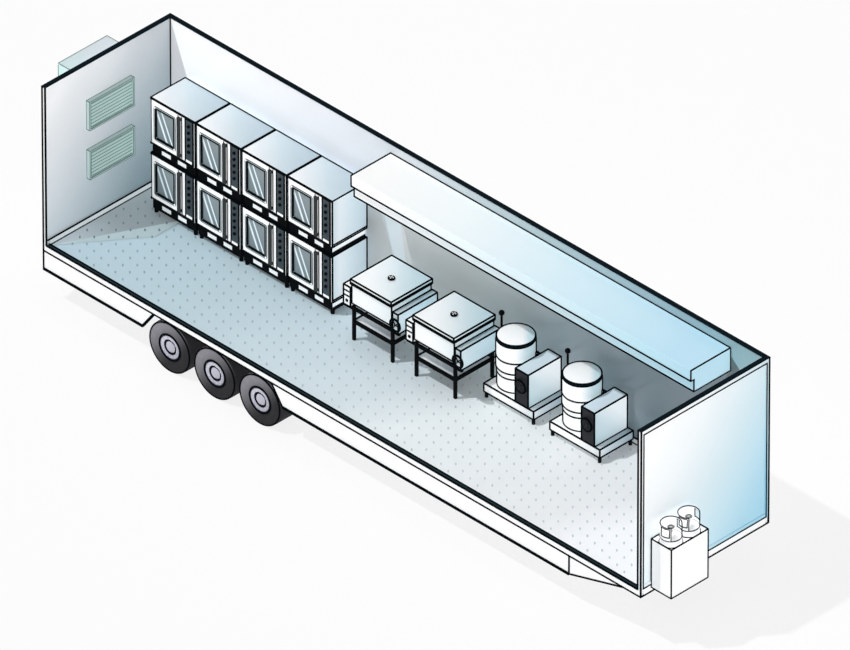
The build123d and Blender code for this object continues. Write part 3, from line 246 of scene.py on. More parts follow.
ovenShading = {
    "top": [
        (0.1, (244, 246, 248)), (0.4, (226, 233, 238)), (0.69, (209, 221, 227)), (0.77, (202, 217, 225)),
        (1.02, (190, 206, 215)), (1.4, (176, 195, 205)),
    ],
    "side": [
        (0.0, (206, 218, 226)), (0.15, (226, 232, 236)), (0.3, (215, 226, 232)), (0.5, (200, 215, 223)),
        (0.7, (188, 205, 214)),
    ],
}
cabinetShading = [
    (0.1, (181, 203, 209)), (0.5, (201, 216, 222)), (0.9, (238, 242, 244)), (1.3, (246, 248, 250)),
]

whitePaint = plainFinish("whitePaint", outerWhite, roughness=0.32, coat=0.2, mottle=0.02)
skirtPaint = plainFinish("skirtPaint", (241, 241, 242), roughness=0.3, coat=0.3, mottle=0.02)
darkTrim = plainFinish("darkTrim", (6, 20, 27), roughness=0.6, mottle=0.2, specular=0.15)
seamBlack = plainFinish("seamBlack", (3, 8, 11), roughness=0.7, mottle=0.15, specular=0.08)
edgeSlate = plainFinish("edgeSlate", (34, 50, 57), roughness=0.55, mottle=0.12, specular=0.2)
chassisPaint = plainFinish("chassisPaint", (50, 52, 56), roughness=0.55, mottle=0.2, scale=6, relief=0.0008,
                           specular=0.3)
castIron = plainFinish("castIron", (44, 45, 48), roughness=0.65, mottle=0.25, grain=250, relief=0.0015)
springRubber = plainFinish("springRubber", (34, 34, 36), roughness=0.75, mottle=0.2, grain=600)
blackSatin = plainFinish("blackSatin", (8, 10, 12), roughness=0.55, mottle=0.2, specular=0.15)
labelWhite = plainFinish("labelWhite", (250, 250, 250), roughness=0.4, mottle=0.02)
skirtingGrey = plainFinish("skirtingGrey", (206, 213, 217), roughness=0.4, mottle=0.03)
hvacPanel = shadedFinish("hvacPanel", (196, 232, 228), (212, 222, 228), (0, 0.25, 1), 3.2, 3.6,
                         roughness=0.35, coat=0.2, mottle=0.03)
hvacLine = plainFinish("hvacLine", (84, 112, 110), roughness=0.5, mottle=0.1)
mintPaint = plainFinish("mintPaint", (188, 210, 207), roughness=0.4, mottle=0.04)
mintLine = plainFinish("mintLine", (70, 100, 96), roughness=0.5, mottle=0.1)
gasPaint = plainFinish("gasPaint", (248, 249, 250), roughness=0.35, coat=0.2, mottle=0.03)
knobSteel = plainFinish("knobSteel", (214, 220, 224), roughness=0.25, metallic=0.6, mottle=0.05)
lampRed = plainFinish("lampRed", (176, 28, 22), roughness=0.15, coat=0.6, mottle=0.1)
filterSteel = plainFinish("filterSteel", (168, 176, 182), roughness=0.35, metallic=0.5, mottle=0.1,
                          stretch=(1, 12, 1), grain=80)
# the studs carry the floor's painted shade, darker towards the rear
studGrey = shadedFinish("studGrey", (138, 164, 174), (198, 206, 210), (1, -0.45, 0), -5.6, 3.0,
                        roughness=0.55, mottle=0.1)
print("plain finishes made")

wallLook = {"roughness": 0.3, "spread": 0.06, "mottle": 0.015, "scale": 1.5, "grain": 300, "coat": 0.15}
sheetLook = {"roughness": 0.32, "spread": 0.04, "mottle": 0.015, "stretch": (30, 1, 1), "grain": 30,
             "relief": 0.00003, "metallic": 0.15, "specular": 0.35}
potLook = {"roughness": 0.3, "stretch": (1, 1, 1), "grain": 200, "relief": 0.00001, "metallic": 0.0,
           "coat": 0.2}


# where the light and shade in the room begin and end: slants are metres along for each metre up or across
rearLight = {"slant": 0.975, "corner": (-0.35, 1.0), "depth": 0.21}
farLight = {
    "slant": 0.40, "shadedTo": -4.5, "streakFrom": -0.685, "streakSlant": 0.163, "streakTo": -0.86,
    "overOvens": -1.96, "besideHood": (-1.46, 2.95), "aboveHood": 3.2, "corner": (5.35, 0.83, 7.96),
}
frontLight = (0.8, 0.55)
floorLight = {
    "slant": 0.45, "shade": (0.46, 0.34), "shadeTo": -5.052, "shadeTint": (230, 251, 255),
    "corner": 1.98, "cornerWidth": (0.2, 1.3), "cornerShadowTints": ((226, 237, 243), (186, 199, 203)),
}


def rearWallFinish():
    # white outside; inside a painted shade, a grey that deepens downwards and towards the far corner
    material, x, y, z = startMaterial("rearPanel")
    # painted shade: darker still towards the far corner
    dark = ramp(y, *rearLight["corner"]) * rearLight["depth"]
    shadedInside = blend(dark, stops(y - z * rearLight["slant"], rearShading), (0, 0, 0))
    return surface(material, blend(x > rear + wall / 2, outerWhite, shadedInside), **wallLook)


def farWallFinish():
    material, x, y, z = startMaterial("farPanel")
    # inside, painted shade: pale towards the rear and greying towards the front, darker on the wall under the
    # hood where the hood's shadow falls
    upper, lower = stops(x, farShading["upper"]), stops(x, farShading["lower"])
    # grey where the rear wall keeps the light off
    slant = x + z * farLight["slant"]
    upper = blend(edge(slant, farLight["shadedTo"], -0.01), upper, farShading["shaded"])
    # the streak of light that falls through beside the hood
    streak = edge(slant, farLight["streakFrom"], 0.015)
    streak = streak & edge(x + z * farLight["streakSlant"], farLight["streakTo"], -0.015)
    lower = blend(streak, lower, farShading["streak"])
    besideX, besideZ = farLight["besideHood"]
    beside = (x < besideX) & (z > besideZ)
    clear = (x < farLight["overOvens"]) | beside | edge(z, farLight["aboveHood"], 0.04)
    # painted shadow: the front end of the wall in dark grey, below a slanting edge
    start, slope, end = farLight["corner"]
    corner = (x > start) & edge(z + x * slope, end, -0.01)
    shadedInside = blend(corner, blend(clear, lower, upper), farShading["corner"])
    return surface(material, blend(y < far - wall / 2, outerWhite, shadedInside), **wallLook)


def frontWallFinish():
    # blue grey inside; outside a pale blue that deepens downwards, painted light fading it to white higher up
    # and towards the near side
    material, x, y, z = startMaterial("frontPanel")
    painted = stops(y * frontLight[0] - z * frontLight[1], frontShading)
    return surface(material, blend(x > front - 0.04, (176, 190, 200), painted), **wallLook)


def floorFinish():
    # pale blue sheet with painted light that turns it nearly white towards the front
    material, x, y, z = startMaterial("floorSheet")
    color = stops(x - y * floorLight["slant"], floorShading)
    # beside the rear wall a painted shadow in grey, and beyond it what the wall's own cast shadow covers is
    # lifted with painted light
    along, across = x - (rear + wall), y - near
    shadeAlong, shadeAcross = floorLight["shade"]
    shade = edge(along * shadeAlong - across * shadeAcross, 0, -0.008) & (x < floorLight["shadeTo"])
    color = blend(shade, color, floorLight["shadeTint"])
    dim = blend(ramp(across, *floorLight["cornerWidth"]), *floorLight["cornerShadowTints"])
    color = blend(edge(along * floorLight["corner"] - across, 0, -0.02), color, dim)
    return surface(material, color, roughness=0.55, mottle=0.02, scale=2, grain=260, relief=0.0006)


def ovenFinish():
    # stainless sheet with painted light and shade laid anew on every oven of the row, its top and its side
    # each in their own gradient, with a grey control panel and black knobs
    material, x, y, z = startMaterial("ovenSteel")
    margin = 0.012
    along = x.within(ovens["x"][0] - margin, ovens["pitch"])
    back = y - ovens["y"]
    tint = blend(along > margin + ovens["width"] - 0.001, stops(along * 0.9 + back, ovenShading["top"]),
                 stops(back, ovenShading["side"]))
    color = blend(back < 0.012, tint, (252, 252, 252))
    color = blend(back < -ovens["proud"], color, (58, 68, 74))
    color = blend(back < -ovens["bossProud"], color, (3, 4, 6))
    return surface(material, color, **{**sheetLook, "roughness": 0.35, "stretch": (1, 1, 40)})


def doorFinish():
    # white door skin with painted shade in grey on its edges further back, dark handle bar, black gasket with
    # pale bosses whose white stands for the highlights on the window's rounded corners, and the pane behind
    # it, darker low down, with painted reflections in two slanting bands
    material, x, y, z = startMaterial("ovenDoorSteel")
    along = x.within(ovens["x"][0], ovens["pitch"])
    up = z.within(ovens["z"][0], ovens["tier"])
    back = y - ovens["y"]
    # painted shade: the door's edges further back in grey
    skin = blend(ramp(back, 0.003, 0.03), (252, 252, 252), (170, 180, 186))
    glass = blend(ramp(up, 0.3, 0.9), (116, 129, 134), (137, 147, 151))
    # painted reflections: two slanting pale bands across the pane
    for middle, half in pane["bands"]:
        offset = (along + up * pane["slant"]).away(middle)
        glass = blend(ramp(offset, half, half - 0.008), glass, (226, 240, 246))
    # how far a spot lies outside the pane, sideways and upright
    sideways = along.away(pane["x"]) - pane["half"][0]
    upright = up.away(pane["z"]) - pane["half"][1]
    reach = sideways | upright
    color = blend(reach < -0.0006, skin, glass)
    gasket = (reach < pane["gasket"]) & (reach > -0.0006) & (back < 0.03)
    gasket = gasket & ((back < -ovens["proud"]) | (sideways < 0.003))
    lip = (reach > pane["lip"][0]) & (reach < pane["lip"][1])
    color = blend(gasket, color, blend(lip, (3, 5, 7), (170, 184, 190)))
    # white caps on the bosses at two corners, standing for the highlights where the window's corners round
    color = blend((back < -ovens["bossProud"]) & (along < pane["handleFrom"]), color, (250, 250, 250))
    color = blend((back < -ovens["proud"]) & (along > pane["handleFrom"]), color, (46, 49, 51))
    return surface(material, color, roughness=0.3, spread=0.03, mottle=0.02, stretch=(1, 1, 30), grain=30,
                   relief=0.00002, specular=0.3)


# depth of the front plates, depth of the band round the end, and its foot and top
plinthBand = (0.0145, 0.0155, 0.066, 0.15)
shelf = {"middle": 0.423, "half": (0.373, 0.354), "top": 1.3145}


def plinthFinish():
    # black sheet with white plates on its front, and a white band round the end of the row
    material, x, y, z = startMaterial("plinthBlack")
    plates, end, low, high = plinthBand
    up = z.within(ovens["z"][0], ovens["tier"])
    band = (x > ovens["rowEnd"] - end) & (up > low) & (up < high)
    color = blend((y < ovens["y"] + plates) | band, (8, 10, 12), (240, 243, 245))
    return surface(material, color, roughness=0.5, mottle=0.1, specular=0.15)


def frameFinish():
    # black powder coat, with the plate of the lower shelf in bare grey steel, painted paler towards its rear
    # end as if lit there
    material, x, y, z = startMaterial("frameBlack")
    middle = pans["pitch"] / 2
    along = x.within(pans["x"][0] + shelf["middle"] - middle, pans["pitch"])
    across = y.away(pans["y"] + pans["length"] / 2)
    plate = (along.away(middle) < shelf["half"][0]) & (across < shelf["half"][1]) & (z > shelf["top"])
    # painted light: the shelf plate paler towards its rear end
    steel = blend(ramp(along, 0.2, 0.95), (225, 230, 233), (178, 184, 190))
    color = blend(plate, (8, 9, 11), steel)
    return surface(material, color, roughness=0.5, mottle=0.08, grain=600, specular=0.15)


def hoodFinish():
    # painted light and shade: top and fronts pale at the rear end and bluer towards the front end, the end
    # face in a shaded blue
    material, x, y, z = startMaterial("hoodSteel")
    ahead = (y < hood["lowFront"] + 0.002) & (z < hood["top"] - 0.005)
    color = blend(ahead, stops(x, hoodShading["top"]), stops(x, hoodShading["front"]))
    color = blend(x > hood["x"][1] - 0.001, color, hoodShading["end"])
    return surface(material, color, roughness=0.32, spread=0.03, mottle=0.01, stretch=(1, 40, 1), grain=30,
                   relief=0.00002, metallic=0.05)


def cabinetFinish():
    # painted shade: bluish low down and white towards the top and the back, the top face in its own shaded
    # tint, with a black control front
    material, x, y, z = startMaterial("cabinetSteel")
    high = kettles["cabinetTop"]
    color = stops(y + z - (kettles["y"] + kettles["deck"]), cabinetShading)
    # painted shade on the top face
    color = blend(ramp(z, high - 0.001, high - 0.0005), color, (210, 225, 233))
    color = blend(y < kettles["y"] + 0.0005, color, (37, 38, 42))
    return surface(material, color, **{**sheetLook, "mottle": 0.01, "stretch": (1, 1, 30), "relief": 0.00002,
                                       "metallic": 0.05})


def fromHub(x, z):
    # the way along and the way up from the middle of whichever wheel is nearest
    half = wheel["pitch"] / 2
    return x.within(wheel["x"]["rear"] - half, wheel["pitch"]) - half, z - wheel["z"]


# radii of the groove and of the lip, and how far out the painted face begins
rimBlack = ((0.0905, 0.1265), 0.185, 1.15)
tyreSide = 1.26


def tyreFinish():
    # dark rubber, a little lighter towards the rear top of each wheel's side as a painted highlight
    material, x, y, z = startMaterial("tyreRubber")
    along, lift = fromHub(x, z)
    sidewallHighlight = ramp(lift - along, -0.3, 0.65) & (y.away(0) > tyreSide)
    color = blend(sidewallHighlight, (40, 40, 42), (130, 129, 136))
    return surface(material, color, roughness=0.8, mottle=0.12, scale=12, grain=500, relief=0.0008)


def rimFinish():
    # lilac grey paint, lighter towards the rear top as a painted highlight, with the lip and the groove round
    # the hub in black
    material, x, y, z = startMaterial("rimPaint")
    along, lift = fromHub(x, z)
    radius = (along * along + lift * lift).math("SQRT")
    (inner, outer), lip, face = rimBlack
    dark = ((radius > lip) | ((radius > inner) & (radius < outer))) & (y.away(0) > face)
    # painted highlight: paler towards the rear top of the wheel
    paint = blend(ramp(lift - along, -0.25, 0.25), (158, 157, 172), (186, 185, 199))
    return surface(material, blend(dark, paint, (20, 21, 30)), roughness=0.35, coat=0.3, mottle=0.04)


def rowFinish(name, row, spread, tints, isDark, darkColor=(10, 12, 14), shift=0.0, depth="y", **finish):
    # satin stainless sheet with painted shade laid anew on each piece of a row, white turning to blue grey
    # across it, with a black part where isDark says so
    material, x, y, z = startMaterial(name)
    along = x.within(row["x"][0] - shift, row["pitch"])
    color = blend(ramp(along + (y - row[depth]), *spread), *tints)
    color = blend(isDark(along, y, z), color, darkColor)
    return surface(material, color, **{**sheetLook, **finish})


def isLever(x, y, z):
    return (x < 0.016) | (x > 1.2)


pots = {"isDark": isLever, "darkColor": (3, 4, 6), "depth": "potY", **potLook}
panSteel = rowFinish("panSteel", pans, (0.2, 1.6), ((246, 247, 248), (184, 208, 216)),
                     lambda x, y, z: z > pans["lid"] + pans["lidHeight"] + 0.0005, metallic=0.0)
potSteel = rowFinish("potSteel", kettles, (0.22, 0.6), ((254, 254, 254), (190, 209, 215)), **pots)
lidSteel = rowFinish("lidSteel", kettles, (0.44, 0.62), ((255, 255, 255), (205, 228, 234)), **pots)
tyreRubber = tyreFinish()

# which finish each CAD node takes, by the start of its name
nodeFinish = {
    "floor_rails": whitePaint, "floor_deck": floorFinish(), "floor_skirting": skirtingGrey,
    "side_skirts": skirtPaint, "axles": castIron, "air_springs": springRubber, "tail_lamps": lampRed,
    **dict.fromkeys(("cross_members", "chassis_beams", "trailing_arms", "air_tank", "coupler", "landing_gear",
                     "rear_guard"), chassisPaint),
    "wall_rear": rearWallFinish(), "wall_far": farWallFinish(), "wall_front": frontWallFinish(),
    "wall_grilles": mintPaint, "hvac_case": hvacPanel,
    "hood_canopy": hoodFinish(), "hood_filters": filterSteel,
    "gas_locker": whitePaint, "gas_cylinders": gasPaint, "tyre_": tyreRubber, "rim_": rimFinish(),
    "oven_plinths": plinthFinish(), "oven_cases": ovenFinish(), "oven_door_": doorFinish(),
    "pan_frames": frameFinish(), "pan_tub_": panSteel, "pan_lid_": panSteel,
    "pan_consoles": rowFinish("consoleSteel", pans, (0.15, 1.7), ((252, 253, 253), (180, 203, 213)),
                              lambda x, y, z: y < pans["y"] + 0.0095, shift=0.16),
    "kettle_bases": rowFinish("baseSteel", kettles, (0.3, 1.75), ((253, 254, 254), (152, 170, 180)),
                              lambda x, y, z: z < 1.0695),
    "kettle_cabinets": cabinetFinish(), "kettle_pot_": potSteel, "kettle_lid_": lidSteel,
}
for name, node in nodes.items():
    finish = next(finish for start, finish in nodeFinish.items() if name.startswith(start))
    node.data.materials.clear()
    node.data.materials.append(finish)
print("CAD nodes finished:", len(nodes))


# Geometry Nodes trees
def startTree(name, sockets):
    tree = bpy.data.node_groups.new(name, "GeometryNodeTree")
    tree.interface.new_socket("Geometry", in_out="INPUT", socket_type="NodeSocketGeometry")
    for label, kind, value in sockets + [("Material", "Material", None)]:
        socket = tree.interface.new_socket(label, in_out="INPUT", socket_type="NodeSocket" + kind)
        if value is not None:
            socket.default_value = value
    tree.interface.new_socket("Geometry", in_out="OUTPUT", socket_type="NodeSocketGeometry")
    return tree, tree.nodes.new("NodeGroupInput").outputs


def endTree(tree, given, geometry):
    real = add(tree, "GeometryNodeRealizeInstances", {0: geometry})
    painted = add(tree, "GeometryNodeSetMaterial", {"Geometry": real, "Material": given["Material"]})
    tree.links.new(painted, tree.nodes.new("NodeGroupOutput").inputs[0])
    return tree


def beadTree():
    # a round bead along every edge that the piece is given
    tree, given = startTree("beads", [("Radius", "Float", 0.006), ("Sides", "Int", 6)])
    path = add(tree, "GeometryNodeMeshToCurve", {0: given["Geometry"]})
    ring = add(tree, "GeometryNodeCurvePrimitiveCircle", {"Resolution": given["Sides"],
                                                         "Radius": given["Radius"]})
    tube = add(tree, "GeometryNodeCurveToMesh", {"Curve": path, "Profile Curve": ring, "Fill Caps": True})
    return endTree(tree, given, tube)


def studTree():
    # a small turned stud on every point, standing along the turned Z axis
    tree, given = startTree("studs", [
        ("Radius", "Float", 0.01), ("Top", "Float", 0.009), ("Height", "Float", 0.004), ("Sides", "Int", 10),
        ("Turn", "Vector", (0, 0, 0)), ("Stretch", "Vector", (1, 1, 1))])
    shape = add(tree, "GeometryNodeMeshCone", {"Vertices": given["Sides"], "Radius Bottom": given["Radius"],
                                              "Radius Top": given["Top"], "Depth": given["Height"]})
    spots = add(tree, "GeometryNodeInstanceOnPoints", {"Points": given["Geometry"], "Instance": shape,
                                                      "Rotation": given["Turn"], "Scale": given["Stretch"]})
    return endTree(tree, given, spots)


def slatTree():
    # a row of equal slats, each tilted about the row's own axis
    tree, given = startTree("slats", [
        ("Count", "Int", 8), ("Start", "Vector", (0, 0, 0)), ("Step", "Vector", (0, 0, 0.05)),
        ("Size", "Vector", (0.04, 0.9, 0.004)), ("Tilt", "Vector", (0, 0, 0))])
    row = add(tree, "GeometryNodeMeshLine", {"Count": given["Count"], "Start Location": given["Start"],
                                            "Offset": given["Step"]})
    slat = add(tree, "GeometryNodeMeshCube", {"Size": given["Size"]})
    spots = add(tree, "GeometryNodeInstanceOnPoints", {"Points": row, "Instance": slat,
                                                      "Rotation": given["Tilt"]})
    return endTree(tree, given, spots)


def treadTree():
    # rows of lugs round a tyre, every second row half a pitch on
    tree, given = startTree("tread", [
        ("Lugs", "Int", 44), ("Radius", "Float", 0.414), ("Lug", "Vector", (0.03, 0.05, 0.01)),
        ("Row Step", "Float", 0.07), ("Center", "Vector", (0, 0, 0))])
    ring = add(tree, "GeometryNodeMeshCircle", {"Vertices": given["Lugs"], "Radius": given["Radius"]})
    lug = add(tree, "GeometryNodeMeshCube", {"Size": given["Lug"]})
    place = tree.nodes.new("GeometryNodeInputPosition").outputs[0]
    outward = add(tree, "FunctionNodeAlignRotationToVector", {"Vector": place}, axis="Z")
    joined = tree.nodes.new("GeometryNodeJoinGeometry")
    spots = add(tree, "GeometryNodeInstanceOnPoints", {"Points": ring, "Instance": lug,
                                                      "Rotation": outward})
    half = add(tree, "ShaderNodeMath", {0: math.pi, 1: given["Lugs"]}, operation="DIVIDE")
    for number in (-2, -1, 0, 1, 2):
        shift = add(tree, "ShaderNodeMath", {0: given["Row Step"], 1: float(number)}, operation="MULTIPLY")
        turn = add(tree, "ShaderNodeMath", {0: half, 1: float(number % 2)}, operation="MULTIPLY")
        row = add(tree, "GeometryNodeTransform", {
            "Geometry": spots, "Translation": add(tree, "ShaderNodeCombineXYZ", {2: shift}),
            "Rotation": add(tree, "ShaderNodeCombineXYZ", {2: turn})})
        tree.links.new(row, joined.inputs[0])
    upright = add(tree, "GeometryNodeTransform", {"Geometry": joined.outputs[0],
                                                 "Rotation": (math.pi / 2, 0, 0)})
    placed = add(tree, "GeometryNodeTransform", {"Geometry": upright, "Translation": given["Center"]})
    return endTree(tree, given, placed)


trees = {"beads": beadTree(), "studs": studTree(), "slats": slatTree(), "tread": treadTree()}
print("node trees made")


# ways to make a piece
def finishPiece(name, mesh, rideOn="root"):
    piece = bpy.data.objects.new(name, mesh)
    scene.collection.objects.link(piece)
    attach(piece, rideOn)
    return piece


def meshPiece(name, points, faces, material, rideOn="root"):
    mesh = bpy.data.meshes.new(name)
    mesh.from_pydata([tuple(point) for point in points], [], faces)
    mesh.materials.append(material)
    made = bmesh.new()
    made.from_mesh(mesh)
    bmesh.ops.recalc_face_normals(made, faces=made.faces)
    made.to_mesh(mesh)
    made.free()
    return finishPiece(name, mesh, rideOn)


def boxesPiece(name, boxes, material, bevel=0.0):
    sides = [(0, 1, 3, 2), (4, 6, 7, 5), (0, 4, 5, 1), (2, 3, 7, 6), (0, 2, 6, 4), (1, 5, 7, 3)]
    points, faces = [], []
    for low, high in boxes:
        faces += [tuple(len(points) + corner for corner in side) for side in sides]
        points += [(x, y, z) for x in (low[0], high[0]) for y in (low[1], high[1]) for z in (low[2], high[2])]
    piece = meshPiece(name, points, faces, material)
    if bevel:
        rounding = piece.modifiers.new("rounding", "BEVEL")
        rounding.width = bevel
        rounding.segments = 2
        rounding.limit_method = "ANGLE"


def grown(name, treeName, points, edges, values, material, rideOn="root"):
    # runs one of the node trees on some points and edges, and keeps the plain mesh
    mesh = bpy.data.meshes.new(name + ".seed")
    mesh.from_pydata([tuple(point) for point in points], edges, [])
    seed = bpy.data.objects.new(name + ".seed", mesh)
    scene.collection.objects.link(seed)
    growth = seed.modifiers.new("growth", "NODES")
    growth.node_group = trees[treeName]
    values = {**values, "Material": material}
    for item in trees[treeName].interface.items_tree:
        if item.item_type == "SOCKET" and item.in_out == "INPUT" and item.name in values:
            growth[item.identifier] = values[item.name]
    depsgraph = bpy.context.evaluated_depsgraph_get()
    result = bpy.data.meshes.new_from_object(seed.evaluated_get(depsgraph), depsgraph=depsgraph)
    bpy.data.objects.remove(seed)
    return finishPiece(name, result, rideOn)


def beads(name, lines, radius, material=seamBlack, rideOn="root", sides=6):
    # lines: each a list of points; a closed one repeats its first point
    points, edges = [], []
    for line in lines:
        isClosed = len(line) > 2 and line[0] == line[-1]
        corners = line[:-1] if isClosed else line
        start = len(points)
        points += corners
        edges += [(start + n, start + n + 1) for n in range(len(corners) - 1)]
        if isClosed:
            edges.append((start + len(corners) - 1, start))
    return grown(name, "beads", points, edges, {"Radius": radius, "Sides": sides}, material, rideOn)


def closed(*points):
    return [*points, points[0]]


def boxLines(low, high, keep="xyz"):
    # the twelve edges of a box, those along the axes named in keep
    lines = []
    for axis in map("xyz".index, keep):
        one, other = (n for n in range(3) if n != axis)
        for first in (low, high):
            for second in (low, high):
                ends = [list(low), list(high)]
                for end in ends:
                    end[one], end[other] = first[one], second[other]
                lines.append([tuple(end) for end in ends])
    return lines


def onCircle(center, radius, angle, axis="z"):
    first, second = radius * math.cos(angle), radius * math.sin(angle)
    offset = {"x": (0, first, second), "y": (first, 0, second), "z": (first, second, 0)}[axis]
    return tuple(center[n] + offset[n] for n in range(3))


def ring(center, radius, axis="z", count=48):
    # a closed circle about an axis
    return closed(*(onCircle(center, radius, 2 * math.pi * step / count, axis) for step in range(count)))


def arc(center, radius, first, last):
    # part of a level circle, from one turn to another in degrees
    count = max(2, int((last - first) / 7))
    return [onCircle(center, radius, math.radians(first + (last - first) * step / count))
            for step in range(count + 1)]


def turned(name, center, profile, material, rideOn="root", count=96):
    # a turned piece: profile is a list of (radius, height)
    points = []
    for radius, height in profile:
        points += ring((center[0], center[1], center[2] + height), radius, count=count)[:-1]
    faces = [(row + step, row + (step + 1) % count, row + count + (step + 1) % count, row + count + step)
             for row in range(0, len(points) - count, count) for step in range(count)]
    faces += [tuple(range(count)), tuple(range(len(points) - count, len(points)))]
    piece = meshPiece(name, points, faces, material, rideOn)
    piece.data.shade_smooth()
    piece.data.set_sharp_from_angle(angle=math.radians(35))


# the body shell: capping, floor edge, seams
shell = {
    "capping": 0.008, "over": 0.015, "edgeStrip": 0.057, "seam": 0.016, "frame": (0.05, 0.125, 0.075),
    "skirting": 0.02, "skirtingTop": 0.1, "skirtingSeam": 0.014,
}
over, strip, cap = shell["over"], shell["edgeStrip"], top + shell["capping"]
roomRear, roomFront, roomFar = rear + wall, front - wall, far - wall
boxesPiece("wall_capping", [
    ((rear - over, near - over, top), (roomRear + over, far + over, cap)),
    ((roomRear, roomFar - over, top), (roomFront, far + over, cap)),
    ((roomFront - over, near - over, top), (front + over, far + over, cap)),
], darkTrim, bevel=0.002)
boxesPiece("floor_edge_strip", [((roomRear, near, floor), (roomFront, near + strip, floor + 0.005))],
           edgeSlate, bevel=0.0015)
beads("floor_edge_beads", [[(roomRear, y, z), (roomFront, y, z)]
                           for y, z in ((near, floor), (near + strip, floor + 0.004))], shell["seam"])
side, base, head = shell["frame"]
frameNear, frameFar, frameLow, frameHigh = near + side, far - side, deck + base, top - head
uprights = [(rear, near, deck), (roomRear, near, floor), (roomFront, near, floor), (front, near, deck),
            (front, far, deck), (rear, far, deck), (roomRear, roomFar, floor), (roomFront, roomFar, floor)]
beads("body_seams", [[(x, y, z), (x, y, top)] for x, y, z in uprights] + [
    closed((rear, near, deck), (front, near, deck), (front, far, deck), (rear, far, deck)),
    [(front, far, floor), (rear, far, floor), (rear, near, floor)],
    closed((front, frameNear, frameLow), (front, frameNear, frameHigh), (front, frameFar, frameHigh),
           (front, frameFar, frameLow)),
], shell["seam"])
x, y = roomRear + shell["skirting"], roomFar - shell["skirting"]
beads("skirting_seams", [[(x, near + start, z), (x, y, z), (roomFront, y, z)] for start, z in
                         ((0.01, floor + shell["skirtingTop"]), (0.03, floor))], shell["skirtingSeam"])
print("body shell trimmed")

# side skirts: outlines, with a heavier bottom edge
skirts = {
    "low": 0.542, "rearEnd": -3.771, "slant": 0.23, "frontStart": -1.351, "joint": 4.699, "nose": 5.789,
    "bottomEdge": 0.027, "slantEdge": 0.024,
}
low, joint = skirts["low"], skirts["joint"]
rearFoot, frontFoot = skirts["rearEnd"] - skirts["slant"], skirts["frontStart"] + skirts["slant"]
skirtLines, bottomLines = [], []
for side in (near, far):
    skirtLines += [
        [(skirts["frontStart"], side, deck), (frontFoot, side, low)],
        [(joint + 0.002, side, low), (joint + 0.002, side, deck)],
        [(joint, side, low), (skirts["nose"], side, deck)],
        [(rear, side, low), (rear, side, deck)],
    ]
    bottomLines += [[(rear, side, low), (rearFoot, side, low)], [(frontFoot, side, low), (joint, side, low)]]
beads("skirt_seams", skirtLines, shell["seam"])
beads("skirt_slant_edge", [[(rearFoot, side, low), (skirts["rearEnd"], side, deck)] for side in (near, far)],
      skirts["slantEdge"])
beads("skirt_bottom_edge", bottomLines, skirts["bottomEdge"])
print("skirts trimmed")

# floor: low studs in staggered rows
studs = {
    "alongStep": 0.2966, "acrossStep": 0.5015, "x": (0.16, 12.04), "y": (0.14, 2.44),
    "radius": 0.019, "height": 0.004, "stretch": (0.8, 2.0, 1),
}
studPoints = []
for kind in (0, 0.5):
    for row in range(-20, 60):
        for column in range(-20, 60):
            total = (row + kind) * studs["alongStep"]       # X + Y of the floor's own corner
            spread = (column + kind) * studs["acrossStep"]  # X - Y
            x, y = (total + spread) / 2, (total - spread) / 2
            if studs["x"][0] < x < studs["x"][1] and studs["y"][0] < y < studs["y"][1]:
                studPoints.append((x + rear, y + near, floor + studs["height"] / 2))
grown("floor_studs", "studs", studPoints, [], {
    "Radius": studs["radius"], "Top": studs["radius"] * 0.8, "Height": studs["height"], "Sides": 10,
    "Turn": (0, 0, math.pi / 4), "Stretch": studs["stretch"]}, studGrey)
print("floor studs:", len(studPoints))

# air conditioner
hvac = {
    "x": -6.541, "y": 0.495, "low": 1.66, "high": 3.53, "line": 0.0065,
    "shelf": 2.52, "louvres": (0.43, 2.58, 3.47), "fans": (0.23, 2.1, 0.2),
}
back, half, low, high = hvac["x"], hvac["y"], hvac["low"], hvac["high"]
beads("hvac_seams", boxLines((back, -half, low), (rear, half, high), "y")
      + [[(back, side, high), (rear, side, high)] for side in (-half, half)]
      + [[(back, side, low + 0.03), (back, side, high - 0.03)] for side in (-half, half)]
      + [[(back, -half + 0.02, hvac["shelf"]), (back, half - 0.02, hvac["shelf"])]],
      hvac["line"], hvacLine)
half, low, high = hvac["louvres"]
fanSide, fanHigh, fanRadius = hvac["fans"]
louvres = closed((back, -half, low), (back, half, low), (back, half, high), (back, -half, high))
fans = [ring((back, y, fanHigh), fanRadius, "x", 64) for y in (-fanSide, fanSide)]
beads("hvac_rear_seams", [louvres, *fans], hvac["line"], hvacLine)
print("air conditioner dressed")

# wall grilles
grille = {
    "y": (-0.471, 0.436), "low": (1.759, 2.625), "high": 0.502, "proud": 0.0703, "border": 0.023, "slats": 8,
    "slatBack": 0.03, "slatDrop": 0.019, "line": 0.0055,
}
grilleLines = []
for level in grille["low"]:
    low = (roomRear, grille["y"][0], level)
    high = (roomRear + grille["proud"], grille["y"][1], level + grille["high"])
    left, right = low[1] + grille["border"], high[1] - grille["border"]
    bottom, head = low[2] + grille["border"], high[2] - grille["border"]
    grilleLines += boxLines(low, high) + boxLines((high[0], left, bottom), (high[0], right, head), "yz")
    pitch = (head - bottom) / grille["slats"]
    for number in range(grille["slats"]):
        x, z = high[0] - grille["slatBack"], bottom + (number + 0.5) * pitch - grille["slatDrop"]
        grilleLines.append([(x, left, z), (x, right, z)])
beads("grille_seams", grilleLines, grille["line"], mintLine)

